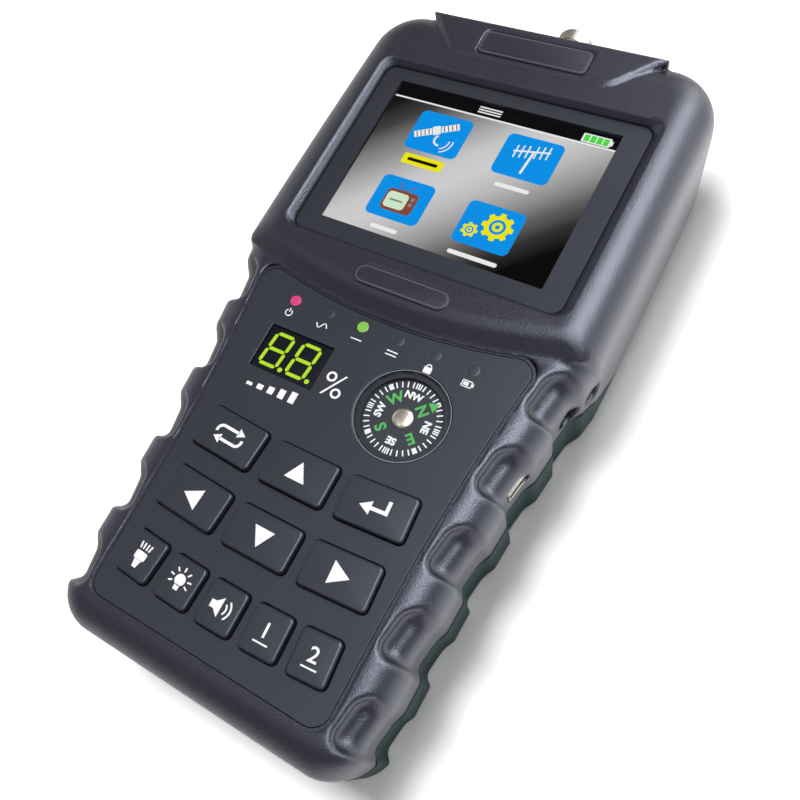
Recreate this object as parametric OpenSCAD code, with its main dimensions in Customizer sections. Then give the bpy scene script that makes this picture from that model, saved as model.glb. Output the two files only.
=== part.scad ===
// Handheld satellite signal meter, lying on its back with its face up.
// X runs across it, Y along it towards the aerial sockets, and Z out of its face.
// The origin is on the back, under the middle of the housing.

/* [Housing] */
// Length of the housing without its sockets
body_len = 179.5; // [176:0.5:190]
// Width at the neck, just below the screen
head_w = 92.8; // [90:0.2:98]
// Width at the bottom end
foot_w = 80.8; // [79:0.2:86]
// How far the sides of the screen end draw in towards the top
head_draw = 1.6; // [0:0.1:3]
// Thickness at the keypad
keypad_t = 36; // [35:0.25:42]
// Height of the screen face above the keypad face
screen_rise = 3.7; // [3.2:0.1:5]
// Height of the parting line above the back
seam_z = 18; // [15:0.25:18.25]
// Radius of the shoulders round the face
shoulder_r = 10; // [8.5:0.1:10.4]
// Radius of the corners at the screen end, seen from the front
head_corner_r = 13; // [11:0.5:16]
// Radius of the corners at the bottom end, seen from the front
foot_corner_r = 10.5; // [10.5:0.25:14]
// Radius of the edge round the back
back_edge_r = 4; // [2:0.25:5]
// Distance of the neck from the middle of the length
neck_y = 12.5; // [10:0.5:16]
// Wall thickness
wall = 2.2; // [1.8:0.1:2.4]

/* [Chin and brow] */
// Distance of the foot of the chin from the middle of the length
chin_y = 3.4; // [3:0.1:5]
// Radius of the chin's curve across the face
chin_r = 135; // [110:1:180]
// How far the chin slopes back as it rises
chin_run = 4.6; // [2:0.1:5]
// Distance of the brow's lower edge from the middle of the length
brow_y = 75.7; // [74:0.1:78]
// Depth of the brow along the length
brow_depth = 9.6; // [8:0.1:10]
// Width of the brow along its lower edge
brow_low_w = 40; // [36:0.5:44]
// Width of the brow along its upper edge
brow_top_w = 60; // [54:0.5:64]
// Height of the brow above the screen face
brow_rise = 0.8; // [0.4:0.1:1.5]
// Width of the plain plate on the brow
brow_plate_w = 28; // [20:0.5:32]
// Height of the plain plate on the brow
brow_plate_h = 7; // [5:0.1:7.6]
// Length of the plain oval badge on the chin
badge_w = 24; // [18:0.5:30]
// Height of the plain oval badge on the chin
badge_h = 5; // [4:0.1:5.4]
// Thickness of both plates
plate_t = 0.5; // [0.3:0.05:0.7]

/* [Grip scoops] */
// Number of finger scoops down each side
scoop_count = 5; // [3:1:5]
// Distance between scoops along the side
scoop_pitch = 19.2; // [18:0.1:20]
// Place of the first scoop from the middle of the length
scoop_first_y = 0.6; // [-2:0.1:2]
// Radius of the bowl of a scoop
scoop_r = 6.6; // [5.5:0.1:7]
// How far a scoop reaches in over the shoulder
scoop_reach = 8.2; // [7:0.1:8.4]
// Depth of the groove that runs down the side from a scoop
groove_depth = 2.2; // [1.2:0.1:2.4]
// Depth of the groove where it meets the back
groove_foot_depth = 1.2; // [0.6:0.1:2.2]

/* [Screen] */
// Width of the picture, a 2.8 inch display
lcd_w = 57.6; // [56:0.1:59]
// Height of the picture
lcd_h = 43.2; // [42:0.1:44.4]
// Distance of the middle of the screen from the middle of the length
screen_y = 43.6; // [43:0.1:44.2]
// Width of the clear window
lens_w = 69.2; // [68:0.1:70]
// Height of the clear window
lens_h = 51.4; // [50.6:0.1:52]
// Thickness of the clear window
lens_t = 1; // [0.8:0.05:1.2]
// Depth of the clear window below the screen face
lens_sink = 2.05; // [1.6:0.05:2.2]
// Radius of the corners of the clear window
lens_corner_r = 2.6; // [1.5:0.1:4]
// How far the bevel round the window spreads
bevel_run = 2; // [1:0.1:2.4]
// Width of the display's metal tray
tray_w = 66; // [64:0.2:67]
// Height of the display's metal tray
tray_h = 49; // [48:0.2:49.6]
// Thickness of the display's metal tray
tray_t = 2.5; // [2.2:0.1:3]

/* [Control panel] */
// Distance of the panel's sides from the sides of the housing
panel_margin = 10.5; // [10.3:0.1:11]
// Distance of the panel's foot from the bottom end
panel_foot_gap = 8.8; // [8.4:0.1:9.4]
// Gap between the foot of the chin and the panel
panel_chin_gap = 0.7; // [0.5:0.1:1.2]
// Thickness of the panel
panel_t = 2; // [1.6:0.1:2.2]
// Radius of the panel's corners
panel_corner_r = 4; // [3:0.25:5]
// Radius of a status lamp
lamp_r = 1.25; // [1:0.05:1.5]
// Distance between status lamps
lamp_pitch = 9.35; // [8.6:0.05:9.8]
// Number of status lamps
lamp_count = 6; // [6:1:6]
// Width of the two digit display
digits_w = 17.1; // [16:0.1:18]
// Height of the two digit display
digits_h = 11.1; // [10:0.1:12]
// Middle of the two digit display across the panel
digits_x = -16.8; // [-18:0.1:-15]
// Middle of the two digit display along the length
digits_y = -13.1; // [-14:0.1:-12]

/* [Compass] */
// Radius of the compass well, inside
well_r = 10.3; // [9.8:0.1:10.8]
// Wall of the compass well
well_wall = 0.6; // [0.5:0.05:0.8]
// Middle of the compass across the panel
compass_x = 13.8; // [13:0.1:15]
// Middle of the compass along the length
compass_y = -15.7; // [-16.2:0.1:-15]
// Gap between the turning card and its well
card_gap = 0.5; // [0.4:0.05:0.8]
// Thickness of the turning card
card_t = 0.4; // [0.3:0.05:0.6]
// Depth of the card below the panel's face
card_sink = 1.8; // [1.7:0.05:2.2]
// Thickness of the clear cover
cover_t = 0.6; // [0.5:0.05:0.8]
// Radius of the domed cap in the middle of the card
cap_r = 2.5; // [2:0.1:3]
// Radius of the pin that the card turns on
pin_r = 0.6; // [0.5:0.05:0.7]

/* [Keys] */
// Width of a large key
key_w = 16.3; // [15:0.1:16.8]
// Width of a small key
small_key_w = 9; // [8:0.1:9.2]
// Height of every key
key_h = 10.2; // [9:0.1:10.8]
// Distance between large keys across the panel
key_pitch = 19.15; // [18.9:0.05:19.5]
// Distance between small keys across the panel
small_key_pitch = 11.34; // [11.2:0.02:11.5]
// Place of the first row of keys from the middle of the length
key_first_y = -37.2; // [-38:0.1:-36.4]
// Distance between the two rows of large keys
key_row_pitch = 15.8; // [15:0.1:16.2]
// Distance from the second row to the row of small keys
small_row_pitch = 16.8; // [15.6:0.1:17]
// Radius of the curve that the rows follow
row_arc_r = 290; // [240:5:500]
// Height of the key tops above the panel
key_rise = 1.5; // [1:0.1:2]
// Travel of a key
key_travel = 1; // [0.6:0.1:1.2]
// Gap round a key
key_gap = 0.3; // [0.25:0.05:0.4]
// Radius of a key's corners
key_corner_r = 1.4; // [1:0.1:2]
// Bevel round a key's top
key_bevel = 0.5; // [0.3:0.1:0.8]
// Lip round the foot of a key, which the panel holds down
key_lip = 0.8; // [0.5:0.05:0.8]

/* [Boards and power] */
// Thickness of the circuit board
board_t = 1.6; // [1.2:0.1:2]
// Thickness of the rubber keypad mat
mat_t = 1.2; // [0.8:0.1:1.6]
// Height of a dome on the rubber mat
dome_h = 1.6; // [1:0.1:2]
// Radius of a battery cell
cell_r = 9.2; // [7:0.1:9.2]
// Length of a battery cell
cell_len = 65; // [50:0.5:66]
// Radius of the speaker
speaker_r = 14; // [10:0.5:14]

/* [Sockets] */
// Radius of the thread on an aerial socket, a three eighths inch coaxial thread
thread_r = 4.7625; // [4.6:0.0125:4.9]
// Length of free thread on the satellite socket
sat_thread_len = 10; // [8:0.5:12]
// Length of free thread on the ground aerial socket
aerial_thread_len = 6; // [5:0.5:10]
// Satellite socket across the end
sat_x = 1.6; // [0:0.1:3]
// Ground aerial socket across the end
aerial_x = 20; // [19:0.1:22]
// Torch across the end
torch_x = -20; // [-24:0.5:-16]
// Radius of the torch lens
torch_r = 3.6; // [3:0.1:4]
// Power jack along the side
power_y = 3.3; // [3:0.1:4]
// Sound jack along the side
sound_y = 10.9; // [10.6:0.1:11.4]
// Radius of the hole in the sound jack, for a 3.5 mm plug
sound_bore_r = 1.78; // [1.75:0.01:1.85]
// Data socket along the side
data_y = -16.6; // [-18:0.1:-15.5]

/* [Hidden] */

// General clearances
seat_gap = 0.15;
turn_gap = 0.06;
screw_gap = 0.05;
slip_gap = 0.3;
cut_over = 1;
reveal = 0.1;
round_fn = 64;
corner_steps = 6;
side_steps = 20;
shoulder_steps = 7;

// Outline of the housing
half_len = body_len / 2;
neck_half = head_w / 2;
foot_half = foot_w / 2;
inset_low = groove_depth + wall + slip_gap;
inset_high = scoop_reach + slip_gap * 2;

// Heights, from the face down
screen_z = keypad_t + screen_rise;
brow_z = screen_z + brow_rise;
panel_bottom = keypad_t - panel_t;
ledge_t = 1.4;
ledge_w = 1.6;
ledge_bottom = panel_bottom - ledge_t;
key_top = keypad_t + key_rise;
lip_t = 0.9;
lip_top = panel_bottom - slip_gap;
lip_bottom = lip_top - lip_t;
dome_top = lip_bottom - key_travel - slip_gap;
board_top = dome_top - dome_h - mat_t;
board_bottom = board_top - board_t;
step_drop = 8;
step_z = keypad_t - step_drop;
lens_top = screen_z - lens_sink;
lens_bottom = lens_top - lens_t;
tray_ledge_t = 0.75;
tray_end_gap = 3;
tray_top = lens_bottom - tray_ledge_t;
tray_bottom = tray_top - tray_t;
tray_floor_t = 0.6;
glass_border = 0.5;
glass_w = lcd_w + 2 * glass_border;
glass_h = lcd_h + 2 * glass_border;
glass_top = lens_bottom - 0.1;

// Compass levels
card_top = keypad_t - card_sink;
card_bottom = card_top - card_t;
card_r = well_r - card_gap;
well_floor_t = 2.2;
well_floor = board_top + well_floor_t;
cover_bottom = keypad_t - cover_t;
cap_stem_r = 1.3;
cap_top = cover_bottom - slip_gap;
cap_bore_top = card_top + 0.5;
pin_top = cap_bore_top - 0.2;

// Sockets in the end wall
socket_drop = 3.6;
socket_z = board_bottom - socket_drop;
torch_seat_t = 4;
torch_seat_y = half_len - wall - torch_seat_t;
torch_lamp_w = 5;
torch_lamp_hold = 2;
can_end_gap = 9.75;
can_end_y = half_len - can_end_gap;
can_len = 40;
can_gap = 0.55;
can_torch_gap = 5.3;
can_t = 11;
can_wall = 0.6;
nut_af = 11;
nut_t = 2.2;
root_r = thread_r - 0.16;
root_end_y = half_len + nut_t + seat_gap;
socket_bore_r = 3.3;
contact_r = 0.6;
socket_floor_t = 3;
wall_hole_r = root_r + slip_gap;

// Jacks in the side wall
jack_drop = 5.5;
jack_z = board_bottom - jack_drop;
jack_h = 11;
power_w = 7.2;
power_bore_r = 2.85;
power_pin_r = 1;
power_depth = 9.5;
jack_len = 12;
sound_w = 6;
sound_depth = 10;
data_w = 7.7;
data_h = 3.9;
data_wall = 0.4;
data_len = 9;
data_z = board_bottom - data_h / 2;

// Screws and posts
post_r = 1.6;
board_screw_r = 0.7;
board_screw_head_r = 1.4;
board_screw_head_t = 1;
board_screw_len = 4;
case_post_r = 3.2;
case_screw_r = 1.2;
case_screw_head_r = 2.4;
case_screw_head_t = 1.8;
case_screw_sink = 6;
case_screw_grip = 6;

// Colours of the pieces
charcoal = "#3f3f47";
panel_grey = "#3c3d44";
border_black = "#2f3034";
nickel = "#c9c8c2";
board_green = "#1f5a3a";
rubber_grey = "#55565c";
milky = "#e9ecef";

// Half the width of the housing at a place along its length
function half_w(y) =
  y > neck_y
    ? neck_half - head_draw * pow((y - neck_y) / (half_len - neck_y), 2)
    : foot_half + (neck_half - foot_half) * pow((y + half_len) / (neck_y + half_len), 3);

// Points of an arc about a middle
function arc(x, y, r, a0, a1, n) =
  [for (i = [0:n]) let (a = a0 + (a1 - a0) * i / n) [x + r * cos(a), y + r * sin(a)]];

// Points mirrored to the left side, in the order that closes the outline
function mirrored(pts) =
  [for (i = [len(pts) - 1:-1:0]) [-pts[i][0], pts[i][1]]];

// Right half of the housing's outline, drawn in by an inset
function half_outline(inset) =
  let (
    y0 = -half_len + foot_corner_r,
    y1 = half_len - head_corner_r,
    r0 = max(foot_corner_r - inset, 0.2),
    r1 = max(head_corner_r - inset, 0.2),
    lower = [for (i = [1:side_steps / 2]) y0 + (neck_y - y0) * i / (side_steps / 2)],
    upper = [for (i = [1:side_steps / 2 - 1]) neck_y + (y1 - neck_y) * i / (side_steps / 2)]
  )
  concat(
    arc(half_w(y0) - inset - r0, -half_len + inset + r0, r0, -90, 0, corner_steps),
    [for (y = concat(lower, upper)) [half_w(y) - inset, y]],
    arc(half_w(y1) - inset - r1, half_len - inset - r1, r1, 0, 90, corner_steps)
  );

function outline(inset) = let (right = half_outline(inset)) concat(right, mirrored(right));

// Right half of the control panel's outline, grown or shrunk
function half_panel(grow) =
  let (
    foot = -half_len + panel_foot_gap - grow,
    head = chin_y - panel_chin_gap + grow,
    r = max(panel_corner_r + grow, 0.5),
    y0 = foot + r,
    x_top = half_w(head) - panel_margin + grow - r,
    y_top = head + x_top * x_top / (2 * chin_r) - r,
    tilt = asin(x_top / chin_r)
  )
  concat(
    arc(half_w(y0) - panel_margin + grow - r, y0, r, -90, 0, corner_steps),
    [for (i = [1:9]) let (y = y0 + (y_top - y0) * i / 10) [half_w(y) - panel_margin + grow, y]],
    arc(x_top, y_top, r, 0, 90 + tilt, corner_steps),
    [for (i = [7:-1:1]) let (x = x_top * i / 8) [x, head + x * x / (2 * chin_r)]]
  );

function panel_outline(grow) = let (right = half_panel(grow)) concat(right, mirrored(right));

// Rectangle with round corners
function round_rect(w, h, r) =
  concat(
    arc(w / 2 - r, h / 2 - r, r, 0, 90, corner_steps),
    arc(-w / 2 + r, h / 2 - r, r, 90, 180, corner_steps),
    arc(-w / 2 + r, -h / 2 + r, r, 180, 270, corner_steps),
    arc(w / 2 - r, -h / 2 + r, r, 270, 360, corner_steps)
  );

function at_height(pts, z) = [for (p = pts) [p[0], p[1], z]];

// Solid skinned over rings of points, from the lowest ring to the highest
module skin(rings) {
  n = len(rings[0]);
  last = len(rings) - 1;
  points = [for (ring = rings) each ring];
  sides = [
    for (k = [0:last - 1], i = [0:n - 1])
      let (a = k * n + i, b = k * n + (i + 1) % n)
      each [[a, a + n, b + n], [a, b + n, b]]
  ];
  foot = [for (i = [0:n - 1]) i];
  head = [for (i = [n - 1:-1:0]) last * n + i];
  polyhedron(points = points, faces = concat(sides, [foot, head]), convexity = 6);
}

module prism(pts, z0, z1) {
  translate([0, 0, z0])
    linear_extrude(z1 - z0)
      polygon(pts);
}

// Housing outline with a round shoulder under a face
module shouldered_body(face, inset) {
  rings = [
    for (k = [0:shoulder_steps])
      let (a = 90 * k / shoulder_steps)
      at_height(
        outline(inset + shoulder_r * (1 - cos(a))),
        face - shoulder_r + shoulder_r * sin(a)
      )
  ];
  skin(concat([at_height(outline(inset), seam_z)], rings));
}

// Everything on the screen's side of the chin, which is upright below the keypad face
module chin_side() {
  slope = chin_run / screen_rise;
  over = 0.3;
  translate([0, chin_y + chin_r, 0])
    rotate_extrude($fn = 180)
      polygon([
        [0, seam_z - cut_over],
        [chin_r + slope * over, seam_z - cut_over],
        [chin_r + slope * over, keypad_t - over],
        [chin_r - slope * (screen_rise + over), screen_z + over],
        [0, screen_z + over]
      ]);
}

function scoop_y(i) = scoop_first_y - i * scoop_pitch;
scoop_lift = 0.6;
scoop_drop = 3.4;
scoop_over = 2;
groove_half = scoop_r - scoop_lift;
groove_r = (groove_half * groove_half + groove_depth * groove_depth) / (2 * groove_depth);

// Bowl of one finger scoop on the shoulder of the right side
module scoop_bowl(i) {
  x = half_w(scoop_y(i));
  hull() {
    translate([x - scoop_reach + scoop_r, scoop_y(i), keypad_t + scoop_lift])
      sphere(r = scoop_r, $fn = 18);
    translate([x + scoop_over, scoop_y(i), keypad_t - scoop_drop])
      sphere(r = scoop_r, $fn = 18);
  }
}

// A length of the groove that runs down the right side from a scoop
module groove_cut(i, depth, z0, z1) {
  translate([half_w(scoop_y(i)) + groove_r - depth, scoop_y(i), z0])
    cylinder(r = groove_r, h = z1 - z0, $fn = 48);
}

module front_grooves() {
  for (i = [0:scoop_count - 1])
    groove_cut(i, groove_depth, seam_z - cut_over, keypad_t - scoop_drop);
}

// In the rear half the grooves grow shallower towards the back
module rear_grooves() {
  for (i = [0:scoop_count - 1])
    hull() {
      groove_cut(i, groove_depth, seam_z, seam_z + cut_over);
      groove_cut(i, groove_foot_depth, -cut_over, 0);
    }
}

// Posts for the screws that hold the circuit board
board_post_in = 0.1;
neck_post_y = -6;
foot_post_gap = 6;
head_post_x = 28;
head_post_gap = 14;
function board_post(y) = [half_w(y) - panel_margin - ledge_w + post_r + board_post_in, y];
head_post_y = half_len - head_post_gap;
board_posts = [
  board_post(neck_post_y), board_post(-half_len + panel_foot_gap + foot_post_gap), [head_post_x, head_post_y]
];

// Posts for the screws that hold the housing together
case_post_in = 7.6;
neck_case_post_in = 7;
neck_case_post_gap = 8;
head_case_post_gap = 9.6;
foot_case_post_gap = 7.8;
case_posts = [
  [half_w(half_len - head_case_post_gap) - case_post_in, half_len - head_case_post_gap],
  [neck_half - neck_case_post_in, neck_y + neck_case_post_gap],
  [foot_half - case_post_in, -half_len + foot_case_post_gap]
];

module both_sides() {
  children();
  mirror([1, 0, 0])
    children();
}

module at_points(points) {
  both_sides()
    for (p = points)
      translate(p)
        children();
}

module brow() {
  prism(
    [
      [-brow_low_w / 2, brow_y], [brow_low_w / 2, brow_y],
      [brow_top_w / 2, brow_y + brow_depth], [-brow_top_w / 2, brow_y + brow_depth]
    ],
    screen_z - shoulder_r, brow_z
  );
}

function brow_plate_points(grow) =
  round_rect(brow_plate_w + 2 * grow, brow_plate_h + 2 * grow, 1.6 + grow);

function badge_points(grow) =
  round_rect(badge_w + 2 * grow, badge_h + 2 * grow, badge_h / 2 + grow - 0.01);

brow_plate_y = brow_y + brow_depth / 2;
badge_y = chin_y + chin_run + badge_h / 2 + 0.5;

module front_cavity() {
  prism(outline(inset_low), seam_z - cut_over, step_z);
  prism(outline(inset_high), step_z - cut_over, ledge_bottom);
  translate([0, 0, ledge_bottom - cut_over])
    linear_extrude(tray_top - ledge_bottom + cut_over)
      tray_room();
}

// Room behind the screen, which always takes the display's tray
module tray_room() {
  intersection() {
    polygon(outline(inset_high + slip_gap));
    translate([0, screen_y])
      square([3 * head_w, tray_h + 2 * tray_end_gap], center = true);
  }
  translate([0, screen_y])
    square([tray_w + 2 * slip_gap, tray_h + 2 * slip_gap], center = true);
}

module window_cuts() {
  translate([0, screen_y, 0]) {
    skin([
      at_height(round_rect(lens_w, lens_h, lens_corner_r), lens_top),
      at_height(
        round_rect(lens_w + 4 * bevel_run, lens_h + 3 * bevel_run, lens_corner_r + bevel_run),
        lens_top + 2 * lens_sink
      )
    ]);
    prism(
      round_rect(lens_w + 2 * seat_gap, lens_h + 2 * seat_gap, lens_corner_r + seat_gap),
      lens_bottom, lens_top + lens_sink / 4
    );
    prism(
      round_rect(glass_w + 2 * slip_gap, glass_h + 2 * slip_gap, 0.6),
      tray_top - cut_over, lens_bottom + cut_over / 2
    );
  }
}

module panel_cuts() {
  prism(panel_outline(seat_gap), panel_bottom, keypad_t + cut_over);
  prism(panel_outline(-ledge_w), ledge_bottom - cut_over, panel_bottom + cut_over);
  for (i = [0:lamp_count - 1])
    translate([lamp_x(i), 0, ledge_bottom - cut_over])
      cylinder(r = lamp_r + slip_gap, h = ledge_t + 2 * cut_over, $fn = 32);
  for (k = large_keys)
    at_key(k)
      lip_room(key_w);
  for (k = small_keys)
    at_key(k)
      lip_room(small_key_w);
}

// Room in the ledge for the lip of a key, wherever the key is
module lip_room(w) {
  grow = key_lip + turn_gap;
  prism(key_points(w + 2 * grow, grow), ledge_bottom - cut_over, panel_bottom + cut_over / 2);
}

module plate_cuts() {
  translate([0, brow_plate_y, 0])
    prism(brow_plate_points(seat_gap), brow_z - plate_t, brow_z + cut_over);
  translate([0, badge_y, 0])
    prism(badge_points(seat_gap), screen_z - plate_t, screen_z + cut_over);
}

// Holes through the top end wall and the right side wall
module wall_holes() {
  for (x = [sat_x, aerial_x])
    translate([x, can_end_y, socket_z])
      rotate([-90, 0, 0])
        cylinder(r = wall_hole_r, h = half_len, $fn = round_fn);
  translate([torch_x, torch_seat_y, socket_z])
    rotate([-90, 0, 0])
      cylinder(r = torch_r + seat_gap, h = half_len, $fn = round_fn);
  translate([0, power_y, jack_z])
    rotate([0, 90, 0])
      cylinder(r = power_bore_r + slip_gap, h = head_w, $fn = round_fn);
  translate([0, sound_y, jack_z])
    rotate([0, 90, 0])
      cylinder(r = sound_bore_r + slip_gap * 4, h = head_w, $fn = round_fn);
  translate([head_w / 2, data_y, data_z])
    cube([head_w, data_w + 2 * slip_gap, data_h + 2 * slip_gap], center = true);
}

module front_housing() {
  color(charcoal)
    difference() {
      union() {
        difference() {
          union() {
            shouldered_body(keypad_t, reveal);
            intersection() {
              shouldered_body(screen_z, 0);
              chin_side();
            }
            brow();
          }
          front_cavity();
        }
        at_points(board_posts)
          translate([0, 0, board_top])
            cylinder(r = post_r, h = ledge_bottom + ledge_t / 2 - board_top, $fn = 32);
        at_points(case_posts)
          translate([0, 0, seam_z])
            cylinder(r = case_post_r, h = step_z + cut_over - seam_z, $fn = 32);
      }
      window_cuts();
      panel_cuts();
      plate_cuts();
      wall_holes();
      both_sides() {
        for (i = [0:scoop_count - 1])
          scoop_bowl(i);
        front_grooves();
      }
      at_points(board_posts)
        translate([0, 0, board_top - cut_over])
          cylinder(r = board_screw_r + screw_gap, h = board_screw_len, $fn = 24);
      at_points(case_posts)
        translate([0, 0, seam_z - cut_over])
          cylinder(r = case_screw_r + screw_gap, h = case_screw_grip + 2 * cut_over, $fn = 24);
    }
}

module rear_housing() {
  rings = [
    for (k = [0:4])
      let (a = 90 * k / 4)
      at_height(outline(back_edge_r * (1 - sin(a))), back_edge_r * (1 - cos(a)))
  ];
  color(charcoal)
    difference() {
      union() {
        difference() {
          skin(concat(rings, [at_height(outline(0), seam_z)]));
          prism(outline(inset_low), wall, seam_z + cut_over);
        }
        at_points(case_posts)
          translate([0, 0, wall / 2])
            cylinder(r = case_post_r, h = seam_z - wall / 2, $fn = 32);
      }
      both_sides()
        rear_grooves();
      at_points(case_posts) {
        translate([0, 0, -cut_over])
          cylinder(r = case_screw_head_r + slip_gap, h = case_screw_sink + cut_over, $fn = 32);
        cylinder(r = case_screw_r + slip_gap, h = seam_z + cut_over, $fn = 24);
      }
      translate([0, speaker_y, -cut_over])
        for (p = grille_points)
          translate(p)
            cylinder(r = 0.9, h = wall + 2 * cut_over, $fn = 16);
    }
}

module control_panel() {
  color(panel_grey)
    difference() {
      prism(panel_outline(0), panel_bottom, keypad_t);
      for (k = large_keys)
        at_key(k)
          prism(key_points(key_w + 2 * key_gap, key_gap), panel_bottom - 1, keypad_t + 1);
      for (k = small_keys)
        at_key(k)
          prism(key_points(small_key_w + 2 * key_gap, key_gap), panel_bottom - 1, keypad_t + 1);
      for (i = [0:lamp_count - 1])
        translate([lamp_x(i), 0, panel_bottom - 1])
          cylinder(r = lamp_r + seat_gap, h = panel_t + 2, $fn = 32);
      translate([digits_x, digits_y, keypad_t])
        cube([digits_w + 2 * seat_gap, digits_h + 2 * seat_gap, 3 * panel_t], center = true);
      translate([compass_x, compass_y, panel_bottom - 1])
        cylinder(r = well_r + well_wall + seat_gap, h = panel_t + 2, $fn = 96);
    }
}

module brow_plate() {
  color(border_black)
    translate([0, brow_plate_y, 0])
      prism(brow_plate_points(0), brow_z - plate_t, brow_z);
}

module chin_badge() {
  color(border_black)
    translate([0, badge_y, 0])
      prism(badge_points(0), screen_z - plate_t, screen_z);
}

module screen_window() {
  color(border_black, 0.5)
    translate([0, screen_y, 0])
      prism(round_rect(lens_w, lens_h, lens_corner_r), lens_bottom, lens_top);
}

module display_glass() {
  color("#9a9a9c")
    translate([0, screen_y, (tray_bottom + tray_floor_t + glass_top) / 2])
      cube([glass_w, glass_h, glass_top - tray_bottom - tray_floor_t], center = true);
}

module display_tray() {
  color(nickel)
    difference() {
      translate([0, screen_y, tray_bottom + tray_t / 2])
        cube([tray_w, tray_h, tray_t], center = true);
      translate([0, screen_y, tray_bottom + tray_floor_t + tray_t])
        cube([glass_w + 2 * seat_gap, glass_h + 2 * seat_gap, 2 * tray_t], center = true);
    }
}

// A key's place: across the panel, and its row
second_row_y = key_first_y - key_row_pitch;
small_row_y = second_row_y - small_row_pitch;
large_keys = [for (y = [key_first_y, second_row_y], i = [-1:1]) [i * key_pitch, y]];
small_keys = [for (i = [-2:2]) [i * small_key_pitch, small_row_y]];

module at_key(k) {
  angle = asin(k[0] / row_arc_r);
  translate([k[0], k[1] + row_arc_r * (1 - cos(angle)), 0])
    rotate([0, 0, angle])
      children();
}

function key_points(w, grow) = round_rect(w, key_h + 2 * grow, key_corner_r + grow);

module key(k, w) {
  color(panel_grey)
    at_key(k) {
      skin([
        at_height(key_points(w, 0), lip_top - 0.1),
        at_height(key_points(w, 0), key_top - key_bevel),
        at_height(round_rect(w - 2 * key_bevel, key_h - 2 * key_bevel, key_corner_r), key_top)
      ]);
      prism(key_points(w + 2 * key_lip, key_lip), lip_bottom, lip_top);
    }
}

module keypad_mat() {
  mat_w = 2 * (key_pitch + key_w / 2);
  mat_head = key_first_y + key_h / 2;
  mat_foot = small_row_y - key_h / 2;
  color(rubber_grey) {
    translate([0, (mat_head + mat_foot) / 2, board_top + mat_t / 2])
      cube([mat_w, mat_head - mat_foot, mat_t], center = true);
    for (k = concat(large_keys, small_keys))
      at_key(k)
        translate([0, 0, board_top + mat_t / 2])
          cylinder(r = 2.4, h = dome_h + mat_t / 2, $fn = 24);
  }
}

function lamp_x(i) = (i - (lamp_count - 1) / 2) * lamp_pitch;

module lamp(i) {
  translate([lamp_x(i), 0, board_top]) {
    cylinder(r = lamp_r + 0.35, h = 0.8, $fn = 32);
    cylinder(r = lamp_r, h = keypad_t + 0.1 - board_top, $fn = 32);
  }
}

lit_red = 0;
lit_green = 2;

module lamp_red() {
  color("#e8407f")
    lamp(lit_red);
}

module lamp_green() {
  color("#8fd050")
    lamp(lit_green);
}

module lamps_unlit() {
  color("#56575d")
    for (i = [0:lamp_count - 1])
      if (i != lit_red && i != lit_green)
        lamp(i);
}

module digit_display() {
  color("#000c14")
    translate([digits_x, digits_y, (board_top + keypad_t - 0.4) / 2])
      cube([digits_w, digits_h, keypad_t - 0.4 - board_top], center = true);
}

module at_compass() {
  translate([compass_x, compass_y, 0])
    children();
}

module compass_well() {
  color(panel_grey)
    at_compass()
      difference() {
        translate([0, 0, board_top])
          cylinder(r = well_r + well_wall, h = cover_bottom - board_top, $fn = 96);
        translate([0, 0, well_floor])
          cylinder(r = well_r, h = keypad_t, $fn = 96);
      }
}

module compass_pin() {
  color(nickel)
    at_compass()
      translate([0, 0, well_floor])
        cylinder(r = pin_r, h = pin_top - well_floor, $fn = 32);
}

module compass_card() {
  color("#333338")
    at_compass()
      difference() {
        translate([0, 0, card_bottom])
          cylinder(r = card_r, h = card_t, $fn = 96);
        translate([0, 0, card_bottom - 1])
          cylinder(r = cap_stem_r + screw_gap, h = card_t + 2, $fn = 32);
      }
}

module compass_cap() {
  rise = cap_top - card_top;
  dome_r = (cap_r * cap_r + rise * rise) / (2 * rise);
  color("#b9b2a4")
    at_compass()
      difference() {
        union() {
          translate([0, 0, card_bottom])
            cylinder(r = cap_stem_r, h = card_t + 0.2, $fn = 32);
          translate([0, 0, card_top])
            rotate_extrude($fn = 64)
              polygon(concat(
                [[0, 0]],
                [for (i = [0:8]) let (x = cap_r * (1 - i / 8))
                  [x, sqrt(dome_r * dome_r - x * x) - dome_r + rise]]
              ));
        }
        translate([0, 0, card_bottom - 1])
          cylinder(r = pin_r + turn_gap, h = cap_bore_top - card_bottom + 1, $fn = 32);
      }
}

module compass_cover() {
  color("#dfe6ea", 0.35)
    at_compass()
      translate([0, 0, cover_bottom])
        cylinder(r = well_r + well_wall, h = cover_t, $fn = 96);
}

// The board stops just short of the sockets
board_end_y = can_end_y - seat_gap;

module main_board() {
  color(board_green)
    difference() {
      intersection() {
        prism(outline(inset_high + 0.5), board_bottom, board_top);
        cube([3 * head_w, 2 * board_end_y, 3 * keypad_t], center = true);
      }
      at_points(board_posts)
        translate([0, 0, board_bottom - 1])
          cylinder(r = board_screw_r + seat_gap, h = board_t + 2, $fn = 24);
      at_points(case_posts)
        translate([0, 0, board_bottom - 1])
          cylinder(r = case_post_r + 2 * slip_gap, h = board_t + 2, $fn = 32);
    }
}

// Sides of the can, which fills the room between the torch and a screw post
can_left = torch_x + torch_lamp_w / 2 + can_torch_gap;
can_right = case_posts[0][0] - case_post_r - can_gap;
can_w = can_right - can_left;

// Thin metal box that stands open against the circuit board
module tuner_can() {
  color(nickel)
    translate([can_left, can_end_y - can_len, board_bottom - can_t])
      difference() {
        cube([can_w, can_len, can_t]);
        translate([can_wall, can_wall, can_wall])
          cube([can_w - 2 * can_wall, can_len - 2 * can_wall, can_t]);
      }
}

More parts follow.
